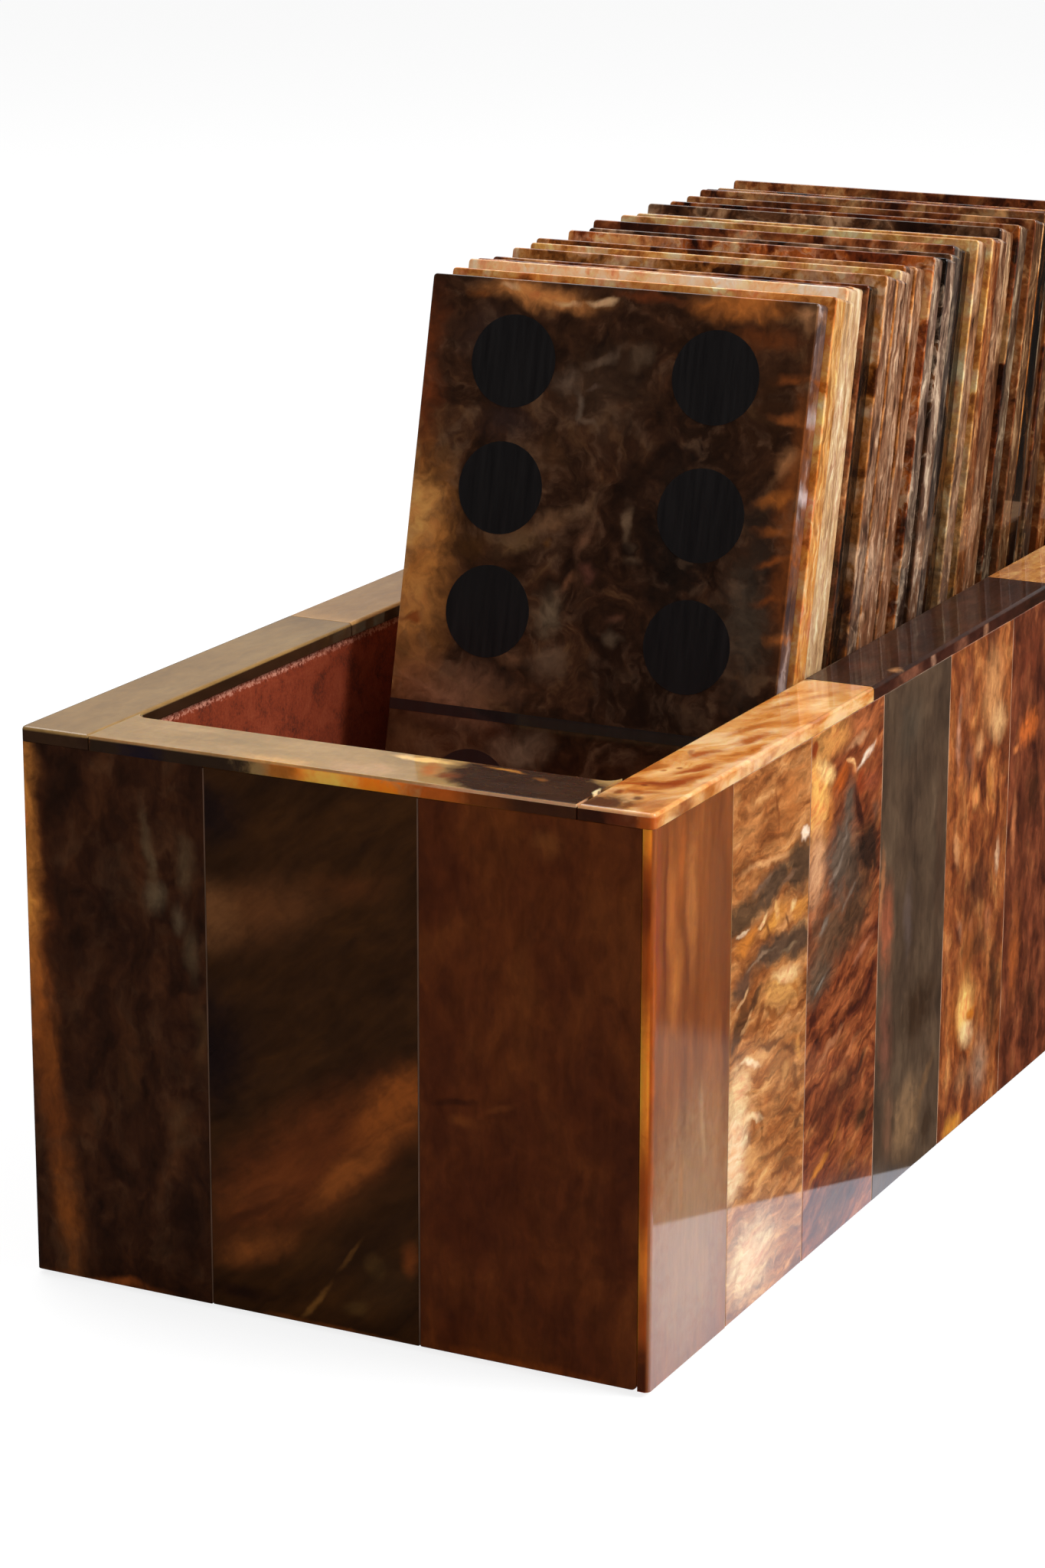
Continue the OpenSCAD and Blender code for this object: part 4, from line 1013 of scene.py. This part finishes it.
def plywoodMaterial(name, across):
    # birch plywood: even pale face veneers with fine pores, every other ply darker
    material, tree, point = startMaterial(name)
    grain = {"x": (0.8, 0.8, 26), "y": (26, 0.8, 0.8), "z": (0.8, 26, 0.8)}[across]
    space = addNode(tree, "ShaderNodeMapping", {"vector_type": "TEXTURE"}, {
        "Vector": point, "Scale": [s * mm for s in grain]})
    pores = addNode(tree, "ShaderNodeTexNoise", None, {
        "Vector": space, "Scale": 1, "Detail": 4, "Roughness": 0.6})
    colour = addNode(tree, "ShaderNodeValToRGB", {
        "stops": [(0.3, "#8f6a42"), (0.5, "#b08a5c"), (0.7, "#c5a274")]}, {"Fac": pores})
    axis = addNode(tree, "ShaderNodeSeparateXYZ", None, {"Vector": point}).outputs[across.upper()]
    wave = addNode(tree, "ShaderNodeMath", {"operation": "MULTIPLY"}, {
        0: axis, 1: 1 / (2 * sheets["ply"] * mm)})
    cycle = addNode(tree, "ShaderNodeMath", {"operation": "FRACT"}, {0: wave})
    ply = addNode(tree, "ShaderNodeMath", {"operation": "GREATER_THAN"}, {0: cycle, 1: 0.5})
    colour = addNode(tree, "ShaderNodeMix", {"data_type": "RGBA", "blend_type": "MULTIPLY"}, {
        "Factor": addNode(tree, "ShaderNodeMath", {"operation": "MULTIPLY"}, {0: ply, 1: 0.5}),
        "A": colour, "B": "#b98f66"})
    return finishMaterial(material, colour, pores, (0.6, 0.8), (0.5, 0.08), {})


def gluedSheet(source, material, wave, face):
    # a sheet glued down: its open face is a little out of true and its edges are soft
    low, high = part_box(source)
    size = high - low
    thin = min(range(3), key=lambda k: size[k])
    wide = [k for k in range(3) if k != thin]
    bm = bmesh.new()
    addBlock(bm, low, high)
    for k in wide:
        cuts = max(2, round(size[k] / (sheets["cell"] * mm)))
        for i in range(1, cuts):
            at = [0, 0, 0]
            way = [0, 0, 0]
            at[k] = low[k] + size[k] * i / cuts
            way[k] = 1
            bmesh.ops.bisect_plane(
                bm, geom=bm.verts[:] + bm.edges[:] + bm.faces[:], plane_co=at, plane_no=way)
    level = high[thin] if face == "+" else low[thin]
    inward = -1 if face == "+" else 1
    for vert in bm.verts:
        if abs(vert.co[thin] - level) > touching:
            continue
        near = min(min(vert.co[k] - low[k], high[k] - vert.co[k]) for k in wide)
        swell = 0.5 + 0.5 * noise.noise(vert.co * sheets["waveScale"])
        pressed = max(0, 1 - near / (sheets["edge"] * mm)) ** 2
        vert.co[thin] += inward * mm * (wave * swell + sheets["edgeDrop"] * pressed)
    for f in bm.faces:
        f.smooth = abs(f.normal[thin]) > 0.7
    bmesh.ops.recalc_face_normals(bm, faces=bm.faces)
    piece = placePiece(bm, source + "_sheet", "case", [material], [source])


rustSuede = suedeMaterial()
for place, across, face in (
        ("base", "z", "+"), ("front", "y", "+"), ("back", "y", "-"), ("left", "x", "+"),
        ("right", "x", "-")):
    lining = "floor_lining" if place == "base" else place + "_lining"
    board = place + "_board"
    gluedSheet(lining, rustSuede, sheets["wave"], face)
    # the plywood stays the CAD node
    nodes[board].data.materials.clear()
    nodes[board].data.materials.append(plywoodMaterial("birchPlywood_" + board, across))
gluedSheet("base_felt", feltMaterial(), 0, "-")


print("stage: floor, light and camera")

studio = {
    "camera": (0.27229, -0.58724, 0.23651),
    "cameraTurn": (74.317, -0.133, 26.772),
    "lens": 95.5,           # mm, for a sensor 36 mm high
    "floorSize": 3,         # half its width, m
    "floorGlow": 0.82,      # how bright the camera sees it, on top of the light that falls on it
    "floorTone": (0.5, 0.26, 0.01),     # its grey for other light, the camera and polished faces
    # name, place in m, width in m and power in W
    "lamps": [("key", (0.85, 0.12, 0.75), 0.5, 13), ("top", (-0.5, 0.3, 1), 0.8, 6)],
    "aim": (0, 0, 0.06),
    "fill": 0.45,
    # what polished faces mirror of the backdrop: from and to which way they look (y), and how
    # bright it is there
    "backdropWay": (-0.1, 0.35),
    "backdropGlow": (0.015, 0.32),
}

# pools of painted light on the floor, a bright one and a dim one, that only polished sides see and
# mirror (painted reflections), in m
paintedFloorLight = {
    "brightCorner": (0.054, -0.012, 0),     # a point on the bright sheet's edge
    "brightWay": (-0.851, -0.525, 0),       # from that edge into the sheet
    "brightGlow": 1.12,
    "brightTone": (0.93, 0.97, 1.1, 1),
    "blur": 0.4 * mm,                       # how soft that edge is
    "dimStart": (0.074, 0.11),              # x where the dim sheet fades in
    "dimGlow": (0.02, 0.42),
    "dimTone": (1, 0.9, 0.76, 1),
    "dimEnd": (0.028, 0.044),               # y where it fades out
    "frontLine": -0.1068,                   # y up to which the front of the box hides them
}


def floorPiece():
    # plain pale paper, evenly bright to the camera; for polished faces it also glows in the pools
    # of painted light, which are painted reflections
    bm = bmesh.new()
    bmesh.ops.create_grid(bm, x_segments=1, y_segments=1, size=studio["floorSize"])
    mesh = bpy.data.meshes.new("floor")
    bm.to_mesh(mesh)
    bm.free()
    floor = bpy.data.objects.new("floor", mesh)
    bpy.context.scene.collection.objects.link(floor)
    material, tree, point = startMaterial("palePaper")
    path = addNode(tree, "ShaderNodeLightPath")
    camera, glossy = path.outputs["Is Camera Ray"], path.outputs["Is Glossy Ray"]
    # painted reflections: glow that only glossy rays see, in the bright and dim pools
    apart = addNode(tree, "ShaderNodeVectorMath", {"operation": "SUBTRACT"}, {
        0: point, 1: paintedFloorLight["brightCorner"]})
    across = addNode(tree, "ShaderNodeVectorMath", {"operation": "DOT_PRODUCT"}, {
        0: apart, 1: paintedFloorLight["brightWay"]}).outputs["Value"]
    bright = addNode(tree, "ShaderNodeMapRange", None, {
        "Value": across, "From Min": -paintedFloorLight["blur"], "From Max": paintedFloorLight["blur"], "To Min": 0,
        "To Max": paintedFloorLight["brightGlow"]})
    split = addNode(tree, "ShaderNodeSeparateXYZ", None, {"Vector": point})
    outward = addNode(tree, "ShaderNodeMapRange", {"interpolation_type": "SMOOTHSTEP"}, {
        "Value": split.outputs["X"], "From Min": paintedFloorLight["dimStart"][0],
        "From Max": paintedFloorLight["dimStart"][1], "To Min": paintedFloorLight["dimGlow"][0],
        "To Max": paintedFloorLight["dimGlow"][1]})
    inside = addNode(tree, "ShaderNodeMapRange", {"interpolation_type": "SMOOTHSTEP"}, {
        "Value": split.outputs["Y"], "From Min": paintedFloorLight["dimEnd"][0],
        "From Max": paintedFloorLight["dimEnd"][1], "To Min": 1, "To Max": 0})
    dim = addNode(tree, "ShaderNodeMath", {"operation": "MULTIPLY"}, {0: outward, 1: inside})
    either = addNode(tree, "ShaderNodeMath", {"operation": "MAXIMUM"}, {0: bright, 1: dim})
    beside = addNode(tree, "ShaderNodeMath", {"operation": "GREATER_THAN"}, {
        0: split.outputs["Y"], 1: paintedFloorLight["frontLine"]})
    right = addNode(tree, "ShaderNodeMath", {"operation": "GREATER_THAN"}, {
        0: split.outputs["X"], 1: 0})
    where = addNode(tree, "ShaderNodeMath", {"operation": "MULTIPLY"}, {0: beside, 1: right})
    mirrored = addNode(tree, "ShaderNodeMath", {"operation": "MULTIPLY_ADD"}, {
        0: either, 1: where, 2: 0.01})
    mirrorTone = addNode(tree, "ShaderNodeMix", {"data_type": "RGBA"}, {
        "Factor": bright, "A": paintedFloorLight["dimTone"], "B": paintedFloorLight["brightTone"]})
    glow = addNode(tree, "ShaderNodeAddShader", None, {
        0: addNode(tree, "ShaderNodeEmission", None, {
            "Strength": addNode(tree, "ShaderNodeMath", {"operation": "MULTIPLY"}, {
                0: camera, 1: studio["floorGlow"]})}),
        1: addNode(tree, "ShaderNodeEmission", None, {
            "Color": mirrorTone,
            "Strength": addNode(tree, "ShaderNodeMath", {"operation": "MULTIPLY"}, {
                0: glossy, 1: mirrored})})})
    greys = [(value, value, value, 1) for value in studio["floorTone"]]
    tone = greys[0]
    for ray, grey in ((camera, greys[1]), (glossy, greys[2])):
        tone = addNode(tree, "ShaderNodeMix", {"data_type": "RGBA"}, {
            "Factor": ray, "A": tone, "B": grey})
    matt = addNode(tree, "ShaderNodeBsdfDiffuse", None, {"Color": tone})
    both = addNode(tree, "ShaderNodeAddShader", None, {0: glow, 1: matt})
    addNode(tree, "ShaderNodeOutputMaterial", None, {"Surface": both})
    mesh.materials.append(material)


def studioWorld():
    # a white backdrop behind the box; polished faces turned to the room see it dim
    world = bpy.data.worlds.new("studio")
    world.use_nodes = True
    tree = world.node_tree
    tree.nodes.clear()
    path = addNode(tree, "ShaderNodeLightPath")
    camera, glossy = path.outputs["Is Camera Ray"], path.outputs["Is Glossy Ray"]
    way = addNode(tree, "ShaderNodeTexCoord").outputs["Generated"]
    depth = addNode(tree, "ShaderNodeSeparateXYZ", None, {"Vector": way}).outputs["Y"]
    backdrop = addNode(tree, "ShaderNodeMapRange", {"interpolation_type": "SMOOTHSTEP"}, {
        "Value": depth, "From Min": studio["backdropWay"][0],
        "From Max": studio["backdropWay"][1], "To Min": studio["backdropGlow"][0],
        "To Max": studio["backdropGlow"][1]})
    seen = addNode(tree, "ShaderNodeMath", {"operation": "MULTIPLY_ADD"}, {
        0: backdrop, 1: glossy, 2: camera})
    direct = addNode(tree, "ShaderNodeMath", {"operation": "MAXIMUM"}, {0: camera, 1: glossy})
    ambient = addNode(tree, "ShaderNodeMath", {"operation": "SUBTRACT"}, {0: 1, 1: direct})
    strength = addNode(tree, "ShaderNodeMath", {"operation": "MULTIPLY_ADD"}, {
        0: ambient, 1: studio["fill"], 2: seen})
    light = addNode(tree, "ShaderNodeBackground", None, {
        "Color": (1, 1, 1, 1), "Strength": strength})
    addNode(tree, "ShaderNodeOutputWorld", None, {"Surface": light})
    bpy.context.scene.world = world


def areaLamp(name, place, size, power):
    lamp = bpy.data.lights.new(name, "AREA")
    lamp.shape = "SQUARE"
    lamp.size = size
    lamp.energy = power
    holder = bpy.data.objects.new(name, lamp)
    bpy.context.scene.collection.objects.link(holder)
    holder.location = place
    aim = Vector(studio["aim"]) - Vector(place)
    holder.rotation_euler = aim.to_track_quat("-Z", "Y").to_euler()


floorPiece()
studioWorld()
for lamp in studio["lamps"]:
    areaLamp(*lamp)

camera = bpy.data.cameras.new("camera")
camera.sensor_fit = "VERTICAL"
camera.sensor_height = 36
camera.lens = studio["lens"]
cameraHolder = bpy.data.objects.new("camera", camera)
cameraHolder.location = studio["camera"]
cameraHolder.rotation_euler = [math.radians(a) for a in studio["cameraTurn"]]
bpy.context.scene.collection.objects.link(cameraHolder)
bpy.context.scene.camera = cameraHolder
bpy.context.scene.view_settings.view_transform = "Standard"
